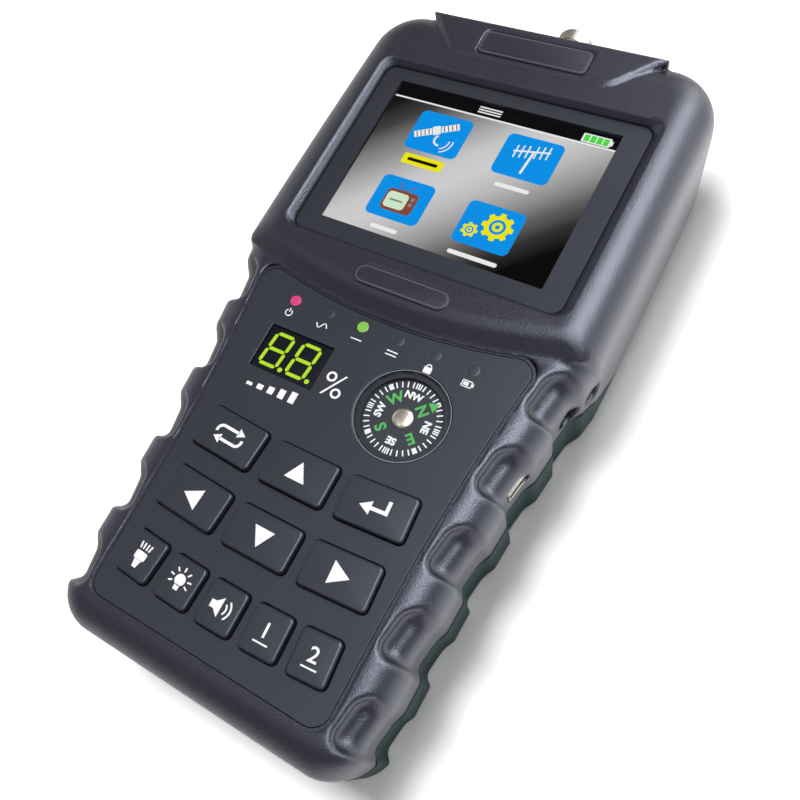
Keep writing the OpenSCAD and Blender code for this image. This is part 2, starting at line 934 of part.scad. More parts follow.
// Socket with a root that runs from the can through the wall, and a free thread
module socket(x, thread_len) {
  tip_y = root_end_y + thread_len;
  translate([x, can_end_y, socket_z])
    rotate([-90, 0, 0])
      difference() {
        union() {
          cylinder(r = root_r, h = root_end_y - can_end_y, $fn = round_fn);
          translate([0, 0, root_end_y - can_end_y])
            cylinder(r = thread_r, h = thread_len, $fn = round_fn);
        }
        translate([0, 0, socket_floor_t])
          cylinder(r = socket_bore_r, h = tip_y - can_end_y, $fn = round_fn);
      }
}

// Insulator that fills a socket, with the hole for the cable's centre wire
module insulator(x, thread_len) {
  depth = root_end_y + thread_len - can_end_y - socket_floor_t - 0.8;
  translate([x, can_end_y + socket_floor_t, socket_z])
    rotate([-90, 0, 0])
      difference() {
        cylinder(r = socket_bore_r - screw_gap, h = depth, $fn = round_fn);
        translate([0, 0, 2])
          cylinder(r = contact_r, h = depth, $fn = 32);
      }
}

// Nut that draws a socket up to the end wall
module socket_nut(x) {
  translate([x, half_len, socket_z])
    rotate([-90, 0, 0])
      difference() {
        cylinder(d = nut_af / cos(180 / 6), h = nut_t, $fn = 6);
        translate([0, 0, -1])
          cylinder(r = root_r + screw_gap, h = nut_t + 2, $fn = round_fn);
      }
}

module sat_socket() {
  color(nickel)
    socket(sat_x, sat_thread_len);
}

module sat_insulator() {
  color(milky)
    insulator(sat_x, sat_thread_len);
}

module sat_nut() {
  color(nickel)
    socket_nut(sat_x);
}

module aerial_socket() {
  color(nickel)
    socket(aerial_x, aerial_thread_len);
}

module aerial_insulator() {
  color(milky)
    insulator(aerial_x, aerial_thread_len);
}

module aerial_nut() {
  color(nickel)
    socket_nut(aerial_x);
}

module torch_lens() {
  color(milky, 0.5)
    translate([torch_x, torch_seat_y, socket_z])
      rotate([-90, 0, 0])
        cylinder(r = torch_r, h = half_len - 0.5 - torch_seat_y, $fn = round_fn);
}

module torch_lamp() {
  color("#f2e6a0")
    translate([torch_x - torch_lamp_w / 2, board_end_y - torch_lamp_hold, socket_z - torch_lamp_w / 2])
      cube([
        torch_lamp_w,
        torch_seat_y - board_end_y + torch_lamp_hold,
        board_bottom - socket_z + torch_lamp_w / 2
      ]);
}

// Face of a jack behind the side wall
function jack_face(y) = min(half_w(y), half_w(scoop_y(0))) - inset_low - 0.1;

module power_jack() {
  color("#1d1e21")
    translate([jack_face(power_y), power_y, jack_z])
      rotate([0, -90, 0])
        difference() {
          translate([-jack_h / 2, -power_w / 2, 0])
            cube([jack_h, power_w, jack_len]);
          translate([0, 0, -1])
            cylinder(r = power_bore_r, h = power_depth + 1, $fn = round_fn);
        }
}

module power_pin() {
  color(nickel)
    translate([jack_face(power_y) - 1, power_y, jack_z])
      rotate([0, -90, 0])
        cylinder(r = power_pin_r, h = power_depth - 1, $fn = 32);
}

module sound_jack() {
  color("#1d1e21")
    translate([jack_face(sound_y), sound_y, jack_z])
      rotate([0, -90, 0])
        difference() {
          translate([-jack_h / 2, -sound_w / 2, 0])
            cube([jack_h, sound_w, jack_len]);
          translate([0, 0, -1])
            cylinder(r = sound_bore_r, h = sound_depth + 1, $fn = round_fn);
        }
}

// Mouth of the data socket, level with the groove that it opens into
data_face = half_w(scoop_y(1)) - groove_depth - 0.2;

module data_socket() {
  color(nickel)
    difference() {
      translate([data_face - data_len, data_y - data_w / 2, data_z - data_h / 2])
        cube([data_len, data_w, data_h]);
      translate([data_face - data_len + 1, data_y - data_w / 2 + data_wall, data_z - data_h / 2 + data_wall])
        cube([data_len, data_w - 2 * data_wall, data_h - 2 * data_wall]);
    }
}

module data_tongue() {
  color("#1d1e21")
    translate([data_face - data_len + 1, data_y - data_w / 2 + 1.6, data_z - 0.5])
      cube([data_len - 2, data_w - 3.2, 1]);
}

// Two cells side by side in a cradle on the back wall
cell_x = cell_r + 0.3;
cradle_floor = 1.2;
cell_z = wall + cradle_floor + cell_r + 0.1;
cells_y = -27;
cradle_wall = 2;
cradle_h = 7;

module battery_cells() {
  color("#2f6fb0")
    both_sides()
      translate([cell_x, cells_y - cell_len / 2, cell_z])
        rotate([-90, 0, 0])
          cylinder(r = cell_r, h = cell_len, $fn = round_fn);
}

module battery_cradle() {
  cradle_w = 2 * (cell_x + cell_r + cradle_wall);
  cradle_len = cell_len + 2 * cradle_wall + 2 * seat_gap;
  color("#26272b")
    difference() {
      translate([-cradle_w / 2, cells_y - cradle_len / 2, wall])
        cube([cradle_w, cradle_len, cradle_h]);
      both_sides()
        translate([cell_x, cells_y - cell_len / 2 - seat_gap, cell_z])
          rotate([-90, 0, 0])
            cylinder(r = cell_r + 0.1, h = cell_len + 2 * seat_gap, $fn = round_fn);
    }
}

speaker_y = 24;
speaker_t = 5;
cone_rim = 2;
cone_depth = 1.5;
grille_points = concat(
  [[0, 0]],
  [for (ring = [1:2], i = [0:6 * ring - 1]) let (a = 60 * i / ring) 4 * ring * [cos(a), sin(a)]]
);

module speaker() {
  color("#232427")
    translate([0, speaker_y, wall]) {
      difference() {
        cylinder(r = speaker_r, h = speaker_t / 2, $fn = round_fn);
        translate([0, 0, -1])
          cylinder(r1 = speaker_r - cone_rim, r2 = speaker_r - 2 * cone_rim, h = cone_depth + 1, $fn = round_fn);
      }
      translate([0, 0, speaker_t / 2])
        cylinder(r = speaker_r / 2, h = speaker_t / 2, $fn = round_fn);
    }
}

module case_screws() {
  color(nickel)
    at_points(case_posts)
      difference() {
        translate([0, 0, case_screw_sink - case_screw_head_t]) {
          cylinder(r = case_screw_head_r, h = case_screw_head_t, $fn = 32);
          cylinder(r = case_screw_r, h = seam_z + case_screw_grip - case_screw_sink + case_screw_head_t, $fn = 24);
        }
        translate([0, 0, case_screw_sink - case_screw_head_t]) {
          cube([2.6, 0.6, 1.6], center = true);
          cube([0.6, 2.6, 1.6], center = true);
        }
      }
}

module board_screws() {
  color(nickel)
    at_points(board_posts) {
      translate([0, 0, board_bottom - board_screw_head_t])
        cylinder(r = board_screw_head_r, h = board_screw_head_t, $fn = 24);
      translate([0, 0, board_bottom - board_screw_head_t / 2])
        cylinder(r = board_screw_r, h = board_screw_len + board_screw_head_t / 2, $fn = 24);
    }
}

front_housing();
rear_housing();
control_panel();
brow_plate();
chin_badge();
screen_window();
display_glass();
display_tray();
key(large_keys[0], key_w);  // key_recall
key(large_keys[1], key_w);  // key_up
key(large_keys[2], key_w);  // key_enter
key(large_keys[3], key_w);  // key_left
key(large_keys[4], key_w);  // key_down
key(large_keys[5], key_w);  // key_right
key(small_keys[0], small_key_w);  // key_torch
key(small_keys[1], small_key_w);  // key_light
key(small_keys[2], small_key_w);  // key_sound
key(small_keys[3], small_key_w);  // key_one
key(small_keys[4], small_key_w);  // key_two
keypad_mat();
lamp_red();
lamp_green();
lamps_unlit();
digit_display();
compass_well();
compass_pin();
compass_card();
compass_cap();
compass_cover();
main_board();
tuner_can();
sat_socket();
sat_insulator();
sat_nut();
aerial_socket();
aerial_insulator();
aerial_nut();
torch_lens();
torch_lamp();
power_jack();
power_pin();
sound_jack();
data_socket();
data_tongue();
battery_cells();
battery_cradle();
speaker();
case_screws();
board_screws();
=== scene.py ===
# %% [markdown]
# # Dressing a handheld signal meter
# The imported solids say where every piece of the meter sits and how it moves. This lesson
# gives them the looks: shells with soft edges, printed keys, a lit screen and a compass.
# The frame is loaded first, and its box is kept, because the looks may not outgrow it.

# %% Load the frame
import functools
import math

import bpy
import numpy as np
from mathutils import Matrix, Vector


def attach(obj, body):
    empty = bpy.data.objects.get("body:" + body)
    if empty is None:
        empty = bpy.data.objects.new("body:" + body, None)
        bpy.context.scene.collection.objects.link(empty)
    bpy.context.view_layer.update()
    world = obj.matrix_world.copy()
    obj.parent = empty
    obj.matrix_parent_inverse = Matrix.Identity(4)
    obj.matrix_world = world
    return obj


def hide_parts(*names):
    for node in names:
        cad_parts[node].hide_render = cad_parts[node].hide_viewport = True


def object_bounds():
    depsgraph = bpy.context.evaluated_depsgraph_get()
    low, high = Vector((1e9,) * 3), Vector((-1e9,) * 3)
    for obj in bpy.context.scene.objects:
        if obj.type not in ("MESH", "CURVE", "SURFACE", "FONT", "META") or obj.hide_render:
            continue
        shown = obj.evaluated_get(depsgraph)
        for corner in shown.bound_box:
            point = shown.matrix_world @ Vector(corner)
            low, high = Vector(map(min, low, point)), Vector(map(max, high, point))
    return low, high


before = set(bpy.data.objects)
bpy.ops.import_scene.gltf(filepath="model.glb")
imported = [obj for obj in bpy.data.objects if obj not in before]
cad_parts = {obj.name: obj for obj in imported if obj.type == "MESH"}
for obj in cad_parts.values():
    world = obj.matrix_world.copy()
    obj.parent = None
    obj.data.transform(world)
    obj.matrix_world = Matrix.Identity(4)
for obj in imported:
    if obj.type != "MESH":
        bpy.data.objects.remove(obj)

CAD_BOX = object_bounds()
MM = 0.001

# %% [markdown]
# ## The camera
# The photograph was taken from the lower right with a normal lens. A camera is often aimed
# at its subject by a constraint. This one was solved from flat shapes of known size on the
# face, so it is set by its three axes and its place, which is exact. The picture was
# cropped off centre, which the lens shift repeats.

# %% Camera
PICTURE = 800
FOCAL_PX = 797.24
CENTRE_PX = (332.64, 439.06)
EYE_MM = (68.63, -62.14, 193.84)
EYE_RIGHT = (0.8398, 0.4853, -0.2432)
EYE_UP = (-0.3894, 0.8507, 0.3530)
EYE_BACK = (0.3782, -0.2018, 0.9035)


def add_object(name, data):
    made = bpy.data.objects.new(name, data)
    bpy.context.collection.objects.link(made)
    return made


def placed(at_mm, right, up, back):
    """A matrix that stands at a point, with these three axes."""
    turn = Matrix((right, up, back)).transposed().to_4x4()
    return Matrix.Translation([v * MM for v in at_mm]) @ turn


lens = bpy.data.cameras.new("camera")
lens.sensor_fit = "HORIZONTAL"
lens.sensor_width = 36
lens.lens = FOCAL_PX / PICTURE * lens.sensor_width
lens.shift_x = (PICTURE / 2 - CENTRE_PX[0]) / PICTURE
lens.shift_y = (CENTRE_PX[1] - PICTURE / 2) / PICTURE
lens.clip_start = 0.01
camera = add_object("camera", lens)
camera.matrix_world = placed(EYE_MM, EYE_RIGHT, EYE_UP, EYE_BACK)
bpy.context.scene.camera = camera
print("lens", round(lens.lens, 2), "mm")

# %% [markdown]
# ## How materials are written here
# Colours are sRGB hex values, as a designer would note them, and one function makes them
# linear. One more adds a node with its settings and links, so that a material reads as a
# short list of what happens to the surface.

# %% Helpers for every material
def linear(hex_colour):
    """An sRGB hex colour as linear RGBA."""
    parts = [int(hex_colour[i:i + 2], 16) / 255 for i in (1, 3, 5)]
    return tuple(c / 12.92 if c <= 0.04045 else ((c + 0.055) / 1.055) ** 2.4 for c in parts) + (1.0,)


def connect(tree, sockets, inputs):
    """Gives each socket a value, or a link from an output. A node stands for its first output."""
    for key, value in inputs.items():
        if isinstance(value, bpy.types.Node):
            value = value.outputs[0]
        if isinstance(value, bpy.types.NodeSocket):
            tree.links.new(value, sockets[key])
        else:
            sockets[key].default_value = value


def node(tree, kind, inputs=None, **settings):
    """Adds a node with its settings, its values and its links."""
    made = tree.nodes.new(kind)
    for name, value in settings.items():
        setattr(made, name, value)
    connect(tree, made.inputs, inputs or {})
    return made


def dress(mat, inputs):
    """Gives the shader of a material its values and links."""
    connect(mat.node_tree, mat.node_tree.nodes["Principled BSDF"].inputs, inputs)


def start_material(name, hex_colour, roughness):
    """A new material, its tree, and the coordinates of the piece itself."""
    mat = bpy.data.materials.new(name)
    mat.use_nodes = True
    dress(mat, {"Base Color": linear(hex_colour), "Roughness": roughness})
    return mat, mat.node_tree, node(mat.node_tree, "ShaderNodeTexCoord").outputs["Object"]


def per_metre(size_mm):
    """Scale of a pattern whose features are this many millimetres across."""
    return 1 / (size_mm * MM)


print("colour check, middle grey", round(linear("#808080")[0], 3))

# %% [markdown]
# ## The floor and the light
# The ground in the photograph is white, with a narrow shadow. An evenly lit floor would be
# grey, and a plain white picture behind the meter would hold no shadow. So this floor adds
# light of its own that only the camera sees: little close to the meter, where a painted
# shadow along its outline deepens the lamp's shadow, more a finger's width away, and most
# far off, where it meets the sky. Gloss sees another level, brighter to the right, for the
# sheen on that side. Lamps do the rest. Most of them show in gloss only, so that each sheen
# has a lamp of its own.

# %% Floor
NECK_HALF, FOOT_HALF, NECK_Y = 46.4, 40.4, 12.5
SHADOW_END, FLOOR_HALF, FLOOR_GREY = 90.0, 4.0, 0.22
SHADOW_REACH, SHADOW_LEVEL, LIT_LEVEL = 13.0, 0.25, 2.3
FAR_START, FAR_END, FAR_LEVEL = 250.0, 1000.0, 1.3
SHEEN_LEFT, SHEEN_RIGHT, SHEEN_LOW, SHEEN_HIGH = 42.0, 85.0, 0.1, 10.0
FADE_START, FADE_END, FADE_LEVEL = 120.0, 170.0, 0.15


def backdrop_level(tree, gloss, plain=1.0):
    """One level where the camera looks, also through glass, and another where gloss mirrors it."""
    path = node(tree, "ShaderNodeLightPath").outputs
    seen = node(tree, "ShaderNodeMath", {0: path["Is Camera Ray"], 1: path["Is Transmission Ray"]},
                operation="MAXIMUM")
    looked_at = node(tree, "ShaderNodeMath", {0: seen, 1: plain}, operation="MULTIPLY")
    return node(tree, "ShaderNodeMath", {0: path["Is Glossy Ray"], 1: gloss, 2: looked_at},
                operation="MULTIPLY_ADD")


floor_mat, tree, place = start_material("painted_board_pale", "#fcfcfc", 0.9)
spot = node(tree, "ShaderNodeSeparateXYZ", {"Vector": place}).outputs
sheen = node(tree, "ShaderNodeMapRange", {
    "Value": spot["X"], "From Min": SHEEN_LEFT * MM, "From Max": SHEEN_RIGHT * MM,
    "To Min": SHEEN_LOW, "To Max": SHEEN_HIGH})
fade = node(tree, "ShaderNodeMapRange", {
    "Value": spot["Y"], "From Min": FADE_START * MM, "From Max": FADE_END * MM,
    "To Min": 1.0, "To Max": FADE_LEVEL})
mirrored = node(tree, "ShaderNodeMath", {0: sheen, 1: fade}, operation="MULTIPLY")
# Painted shadow: the floor's own light is lowest along the meter's outline, waisted like it, and rises over
# SHADOW_REACH mm, which darkens the shadow beside the meter.
either_side = node(tree, "ShaderNodeVectorMath", {0: place}, operation="ABSOLUTE")
distance = node(tree, "ShaderNodeSeparateXYZ", {"Vector": either_side}).outputs
waist = node(tree, "ShaderNodeMapRange", {
    "Value": spot["Y"], "From Min": -SHADOW_END * MM, "From Max": NECK_Y * MM,
    "To Min": FOOT_HALF * MM, "To Max": NECK_HALF * MM})
beside = node(tree, "ShaderNodeMath", {0: distance["X"], 1: waist}, operation="SUBTRACT")
beyond = node(tree, "ShaderNodeMath", {0: distance["Y"], 1: SHADOW_END * MM}, operation="SUBTRACT")
away = node(tree, "ShaderNodeMath", {0: beside, 1: beyond}, operation="MAXIMUM")
close = node(tree, "ShaderNodeMapRange", {
    "Value": away, "From Min": 0.0, "From Max": SHADOW_REACH * MM,
    "To Min": SHADOW_LEVEL, "To Max": LIT_LEVEL})
far_off = node(tree, "ShaderNodeMapRange", {
    "Value": away, "From Min": FAR_START * MM, "From Max": FAR_END * MM,
    "To Min": 0.0, "To Max": FAR_LEVEL})
plain = node(tree, "ShaderNodeMath", {0: close, 1: far_off}, operation="ADD")
dress(floor_mat, {
    "Emission Color": (FLOOR_GREY, FLOOR_GREY, FLOOR_GREY, 1),
    "Emission Strength": backdrop_level(tree, mirrored, plain)})
floor_mat.cycles.emission_sampling = "NONE"

floor_mesh = bpy.data.meshes.new("floor")
corners = [(sx * FLOOR_HALF, sy * FLOOR_HALF, 0) for sx, sy in ((-1, -1), (1, -1), (1, 1), (-1, 1))]
floor_mesh.from_pydata(corners, [], [(0, 1, 2, 3)])
floor_mesh.materials.append(floor_mat)
floor = add_object("floor", floor_mesh)
print("floor", 2 * FLOOR_HALF, "m wide")

# %% Sky and lamps
SKY_GLOSS, SKY_LOW, SKY_HIGH = 0.08, 0.3, 1.0

world = bpy.data.worlds.new("studio")
world.use_nodes = True
bpy.context.scene.world = world
tree = world.node_tree
level = node(tree, "ShaderNodeMapRange", {"Value": backdrop_level(tree, SKY_GLOSS),
                                          "To Min": SKY_LOW, "To Max": SKY_HIGH})
connect(tree, tree.nodes["Background"].inputs, {"Color": (1, 1, 1, 1), "Strength": level})
bpy.context.scene.view_settings.view_transform = "Standard"


def softbox(name, place_mm, aim_mm, size_mm, watts, only):
    """A rectangular lamp that faces a point. It lights surfaces only, or shows in gloss only."""
    lamp = bpy.data.lights.new(name, "AREA")
    lamp.shape = "RECTANGLE"
    lamp.size, lamp.size_y = [v * MM for v in size_mm]
    lamp.energy = watts
    made = add_object(name, lamp)
    aim = (np.array(aim_mm) - np.array(place_mm)) * MM
    from_z = -aim / np.linalg.norm(aim)
    side = np.cross((0, 1, 0), from_z)
    side /= np.linalg.norm(side)
    made.matrix_world = placed(place_mm, side, np.cross(from_z, side), from_z)
    made.visible_diffuse = only != "gloss"
    made.visible_glossy = only != "surface"
    made.visible_transmission = False


softbox("upper_right", (410, 468, 600), (40, 40, 35), (240, 420), 7.5, "gloss")
softbox("right_strip", (260, 60, 629), (40, -30, 30), (200, 500), 6.5, "gloss")
softbox("right_near", (650, 40, 140), (30, 0, 25), (260, 560), 0.7, "gloss")
softbox("right_far", (560, 480, 140), (40, 40, 25), (260, 420), 1.0, "gloss")
softbox("left_strip", (-800, 120, 300), (0, 0, 25), (200, 900), 0.9, "gloss")
softbox("overhead_key", (-260, 80, 890), (0, 0, 20), (300, 300), 6.7, "surface")
softbox("front_small", (-200, -420, 820), (0, 0, 30), (280, 280), 0.6, "gloss")
softbox("lower_left", (-400, -150, 800), (0, -60, 30), (300, 300), 0.25, "gloss")
softbox("back_top", (-10, 740, 560), (30, 20, 30), (260, 340), 0.6, "gloss")
softbox("back_low", (260, 760, 210), (40, -30, 30), (320, 180), 1.6, "gloss")
print("lights", len(bpy.data.lights))

# %% [markdown]
# ## Plastics
# The housing is moulded ABS from a spark-eroded tool: a satin surface with a fine grain
# that only shows where light glances off it. A scanned image could give it, but noise in
# real millimetres fits every piece without a seam. The grain is drawn 0.3 mm across, about
# twice as coarse as the real one, so that it shows at this picture's size. The panel and
# the keys come from smoother tools. In the hollows of the housing the gloss is turned down
# as painted shade, because little of the room would be mirrored in there. An attribute of
# the mesh says where.

# %% Moulded plastics
SHEEN_TINT, ABS_IOR, PATCH_MM = "#e4e9ff", 1.53, 14
# Colour, mottling, roughness, and the size and depth of the grain in mm.
CHARCOAL = ("#1d1d26", "#262630", 0.31, 0.3, 0.09)
WHITE_PRINT = ("#f3f4f5", "#fafafa", 0.55, 0.3, 0.004)
HOLLOW_SPECULAR, OPEN_SPECULAR = 0.08, 0.5


def moulded(name, hex_colour, mottle, roughness, grain_mm, depth_mm, specular=OPEN_SPECULAR):
    """Moulded plastic: grain in the bump, patches a little shinier, and faint mottling."""
    mat, tree, place = start_material(name, hex_colour, roughness)
    grain = node(tree, "ShaderNodeTexNoise", {"Vector": place, "Scale": per_metre(grain_mm),
                                              "Detail": 2.0, "Roughness": 0.6})
    bump = node(tree, "ShaderNodeBump", {"Height": grain, "Strength": 1.0, "Distance": depth_mm * MM})
    patch = node(tree, "ShaderNodeTexNoise", {"Vector": place, "Scale": per_metre(PATCH_MM), "Detail": 3.0})
    gloss = node(tree, "ShaderNodeMapRange", {"Value": patch, "To Min": roughness - 0.03,
                                              "To Max": roughness + 0.04})
    tint = node(tree, "ShaderNodeMix", {"Factor": grain, 6: linear(hex_colour),
                                        7: linear(mottle)}, data_type="RGBA")
    dress(mat, {"IOR": ABS_IOR, "Specular IOR Level": specular, "Specular Tint": linear(SHEEN_TINT),
                "Normal": bump, "Roughness": gloss, "Base Color": tint.outputs[2]})
    return mat


HOUSING = moulded("abs_grained_charcoal", *CHARCOAL)
REAR = moulded("abs_grained_slate", "#0d2523", "#132e2b", 0.6, 0.5, 0.05, 0.12)
RIM = moulded("abs_grained_rim", *CHARCOAL)
PANEL = moulded("abs_satin_panel", "#1e1f27", "#23242b", 0.44, 0.4, 0.010)
KEYCAP = moulded("abs_satin_key", "#202128", "#25262d", 0.42, 0.4, 0.010)
PLATE = moulded("abs_smooth_plate", "#212128", "#26262e", 0.36, 0.35, 0.006)
BORDER = moulded("acrylic_printed_border", "#212229", "#25262d", 0.38, 0.4, 0.004)
BLACK = moulded("nylon_black", "#17181a", "#1f2023", 0.45, 0.3, 0.008)
MAT_RUBBER = moulded("silicone_grey", "#4d4e54", "#55565c", 0.7, 0.3, 0.010)
MILKY = moulded("ptfe_white", "#e4e7ea", "#eceff1", 0.5, 0.4, 0.004)
CARD = moulded("printed_card_black", "#25262c", "#2b2c32", 0.55, 0.3, 0.006)
INK = moulded("screen_print_white", *WHITE_PRINT)
GLOW_PAINTED_INK = moulded("white_print_painted_glow", *WHITE_PRINT)
GREY_INK = moulded("screen_print_grey", "#4c4d55", "#565760", 0.5, 0.3, 0.004)
# Painted highlight: a light grey for the bright line round the compass cover's edge.
PAINTED_EDGE_HIGHLIGHT = moulded("acrylic_edge_painted_highlight", "#868991", "#92959d", 0.3, 0.4, 0.004)
# Painted glow: a lit copy of the white print that gives light of its own, so that the compass marks stay
# bright in the shade under the cover.
dress(GLOW_PAINTED_INK, {"Emission Color": linear("#e6f0ee"), "Emission Strength": 0.3})

# Painted shade: the specular level falls from OPEN_SPECULAR to HOLLOW_SPECULAR where open_air is low, in the
# scoops and other hollows.
tree = HOUSING.node_tree
air = node(tree, "ShaderNodeAttribute", attribute_name="open_air")
hollow_painted_shade = node(tree, "ShaderNodeMapRange", {"Value": air.outputs["Fac"], "From Min": 0.1, "From Max": 0.9,
                                           "To Min": HOLLOW_SPECULAR, "To Max": OPEN_SPECULAR})
dress(HOUSING, {"Specular IOR Level": hollow_painted_shade})
print("plastics", len(bpy.data.materials))

# %% [markdown]
# ## Metals, lamps and clear pieces
# Sockets are brass with bright nickel, pressed parts are plain steel, and the cap of the
# compass is turned. What tells metals apart is how rough they are, and along which way, so
# one noise, stretched where a piece was rolled, sets the roughness. Lamps and the screen
# give their own light, so they have emission. A thin clear plate could refract, but at this
# size it only mirrors and dims a little, so it is nearly all see-through instead.

# %% Metals
def metal(name, hex_colour, roughness, grain_mm, stretch=(1, 1, 1)):
    """A metal whose roughness follows a grain, drawn out along one way if it was brushed."""
    mat, tree, place = start_material(name, hex_colour, roughness)
    drawn = node(tree, "ShaderNodeMapping", {"Vector": place, "Scale": stretch})
    grain = node(tree, "ShaderNodeTexNoise", {"Vector": drawn, "Scale": per_metre(grain_mm), "Detail": 3.0})
    gloss = node(tree, "ShaderNodeMapRange", {"Value": grain, "To Min": roughness - 0.06,
                                              "To Max": roughness + 0.08})
    dress(mat, {"Metallic": 1.0, "Roughness": gloss})
    return mat


NICKEL = metal("nickel_plate", "#bdb8ae", 0.30, 0.5)
STEEL = metal("pressed_steel", "#b6b8ba", 0.38, 0.4, (1, 12, 1))
CAP = metal("turned_cap", "#cfc8bb", 0.32, 0.3)
SCREW = metal("zinc_plated_steel", "#a9abad", 0.36, 0.3)
CELL = metal("cell_sleeve_blue", "#2f6fb0", 0.45, 1.0)
dress(NICKEL, {"Specular Tint": linear("#8c8a86")})
print("metals made")

# %% Lamps and clear pieces
GLOW_MM, GLOW_LOW, GLOW_HIGH = 1.5, 0.94, 1.06
WAVE_MM, WAVE_DEPTH_MM = 9, 0.002


def glowing(name, hex_colour, strength, roughness=0.3, gloss=0.5):
    """A surface that shows its own colour, brighter and dimmer in fine patches."""
    mat, tree, place = start_material(name, "#050505", roughness)
    patch = node(tree, "ShaderNodeTexNoise", {"Vector": place, "Scale": per_metre(GLOW_MM), "Detail": 1.0})
    level = node(tree, "ShaderNodeMapRange", {"Value": patch, "To Min": GLOW_LOW, "To Max": GLOW_HIGH})
    shade = node(tree, "ShaderNodeVectorMath", {0: linear(hex_colour)[:3], "Scale": level}, operation="SCALE")
    dress(mat, {"Specular IOR Level": gloss, "Emission Color": shade, "Emission Strength": strength})
    return mat


def clear(name, hex_colour, ior, roughness, cover=0.0):
    """A clear moulding, faintly wavy in its polish. A thin one lets light straight through."""
    mat, tree, place = start_material(name, hex_colour, roughness)
    wave = node(tree, "ShaderNodeTexNoise", {"Vector": place, "Scale": per_metre(WAVE_MM), "Detail": 1.0})
    bump = node(tree, "ShaderNodeBump", {"Height": wave, "Strength": 0.2, "Distance": WAVE_DEPTH_MM * MM})
    dress(mat, {"Transmission Weight": 0.0 if cover else 1.0, "Alpha": cover or 1.0, "IOR": ior,
                "Normal": bump})
    return mat


ACRYLIC = clear("acrylic_thin_coated", "#1c1d20", 1.49, 0.05, 0.06)
TORCH_CLEAR = clear("polycarbonate_clear", "#ffffff", 1.58, 0.05)
LAMP_RED = glowing("lamp_resin_red", "#e8407f", 0.9)
LAMP_GREEN = glowing("lamp_resin_green", "#8fd050", 0.9)
LAMP_OFF = moulded("lamp_resin_smoke", "#191a20", "#1f2026", 0.5, 0.5, 0.003)
PHOSPHOR = moulded("phosphor_resin", "#efe3a0", "#f5ebb4", 0.4, 0.4, 0.004)
DIGIT_BLACK = moulded("filter_resin_black", "#03080c", "#060c11", 0.5, 0.4, 0.003, 0.15)
SEGMENT = glowing("segment_lime", "#b4e010", 1.0)
SOLDER_MASK = moulded("solder_mask_green", "#1f5a3a", "#27653f", 0.35, 0.6, 0.004)
print("materials", len(bpy.data.materials))

# %% [markdown]
# ## Making meshes
# Three ways make nearly every piece. A loft joins rings of points, for keys and plates.
# A contour finds the skin of a shape that is described by distances, for the two shells,
# whose scoops and shoulders run into each other. A curve with holes, filled by Blender,
# makes the panel.

# %% Pieces from parts
SHARP_DEGREES = 32


def hand_over(made, body, slot, *nodes):
    """Sets a piece on the body that it rides on and hides the solids that it stands for. Its slot is not
    used.
    """
    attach(made, body)
    if nodes:
        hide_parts(*nodes)


def soften(mesh):
    """Smooth shading that leaves true edges sharp."""
    mesh.shade_smooth()
    mesh.set_sharp_from_angle(angle=math.radians(SHARP_DEGREES))


def piece(name, parts, body, slot, *nodes):
    """Joins (points in mm, faces, material) parts into one piece, and hands it to the frame."""
    points, faces, owners, mats = [], [], [], []
    for part_points, part_faces, mat in parts:
        if mat not in mats:
            mats.append(mat)
        start = len(points)
        points += [tuple(c * MM for c in p) for p in part_points]
        faces += [tuple(start + i for i in face) for face in part_faces]
        owners += [mats.index(mat)] * len(part_faces)
    mesh = bpy.data.meshes.new(name)
    mesh.from_pydata(points, [], faces)
    for mat in mats:
        mesh.materials.append(mat)
    mesh.polygons.foreach_set("material_index", owners)
    soften(mesh)
    hand_over(add_object(name, mesh), body, slot, *nodes)


def as_mesh(drawn):
    """The mesh that an object's curve or modifiers come to. The object itself goes."""
    mesh = bpy.data.meshes.new_from_object(drawn.evaluated_get(bpy.context.evaluated_depsgraph_get()))
    bpy.data.objects.remove(drawn)
    return mesh


def part_of(mesh, mat):
    """A mesh as a part."""
    points = [tuple(c / MM for c in v.co) for v in mesh.vertices]
    return points, [tuple(f.vertices) for f in mesh.polygons], mat


print("edges stay sharp from", SHARP_DEGREES, "degrees")


# %% Lofts
def loft(rings, mat, joined=False):
    """A skin over rings of (x, y, z) points, lowest first. Its ends are capped, or joined up."""
    n, count = len(rings[0]), len(rings)
    points = [tuple(p) for ring in rings for p in ring]
    faces = []
    for k in range(count if joined else count - 1):
        low, high = k * n, (k + 1) % count * n
        faces += [(low + i, low + (i + 1) % n, high + (i + 1) % n, high + i) for i in range(n)]
    if not joined:
        faces += [tuple(range(n - 1, -1, -1)), tuple((count - 1) * n + i for i in range(n))]
    return points, faces, mat


def slab(outline, z0, z1, mat):
    """A flat plate over an outline."""
    return loft([[(x, y, z) for x, y in outline] for z in (z0, z1)], mat)


def frame_band(outer, inner, z0, z1, mat):
    """A flat band between two outlines with as many points each."""
    sides = ((outer, z0), (outer, z1), (inner, z1), (inner, z0))
    return loft([[(x, y, z) for x, y in outline] for outline, z in sides], mat, joined=True)


def stacked(outline_of, rings, mat):
    """A loft through rings of one outline: how far each is drawn in, and its height."""
    return loft([[(x, y, z) for x, y in outline_of(drawn_in)] for drawn_in, z in rings], mat)


def round_rim(top, edge, steps):
    """Rings for stacked that round off an upper edge."""
    turns = [math.radians(90 * k / steps) for k in range(steps + 1)]
    return [(edge * (1 - math.cos(a)), top - edge * (1 - math.sin(a))) for a in turns]


def spun(profile, x, y, mat, steps=64):
    """A turned piece about an upright axis: profile is (radius, z) from its foot to its crown."""
    turns = [2 * math.pi * i / steps for i in range(steps)]
    return loft([[(x + r * math.cos(a), y + r * math.sin(a), z) for a in turns] for r, z in profile], mat)


print("rings of a soft edge", len(round_rim(1.0, 0.5, 3)))


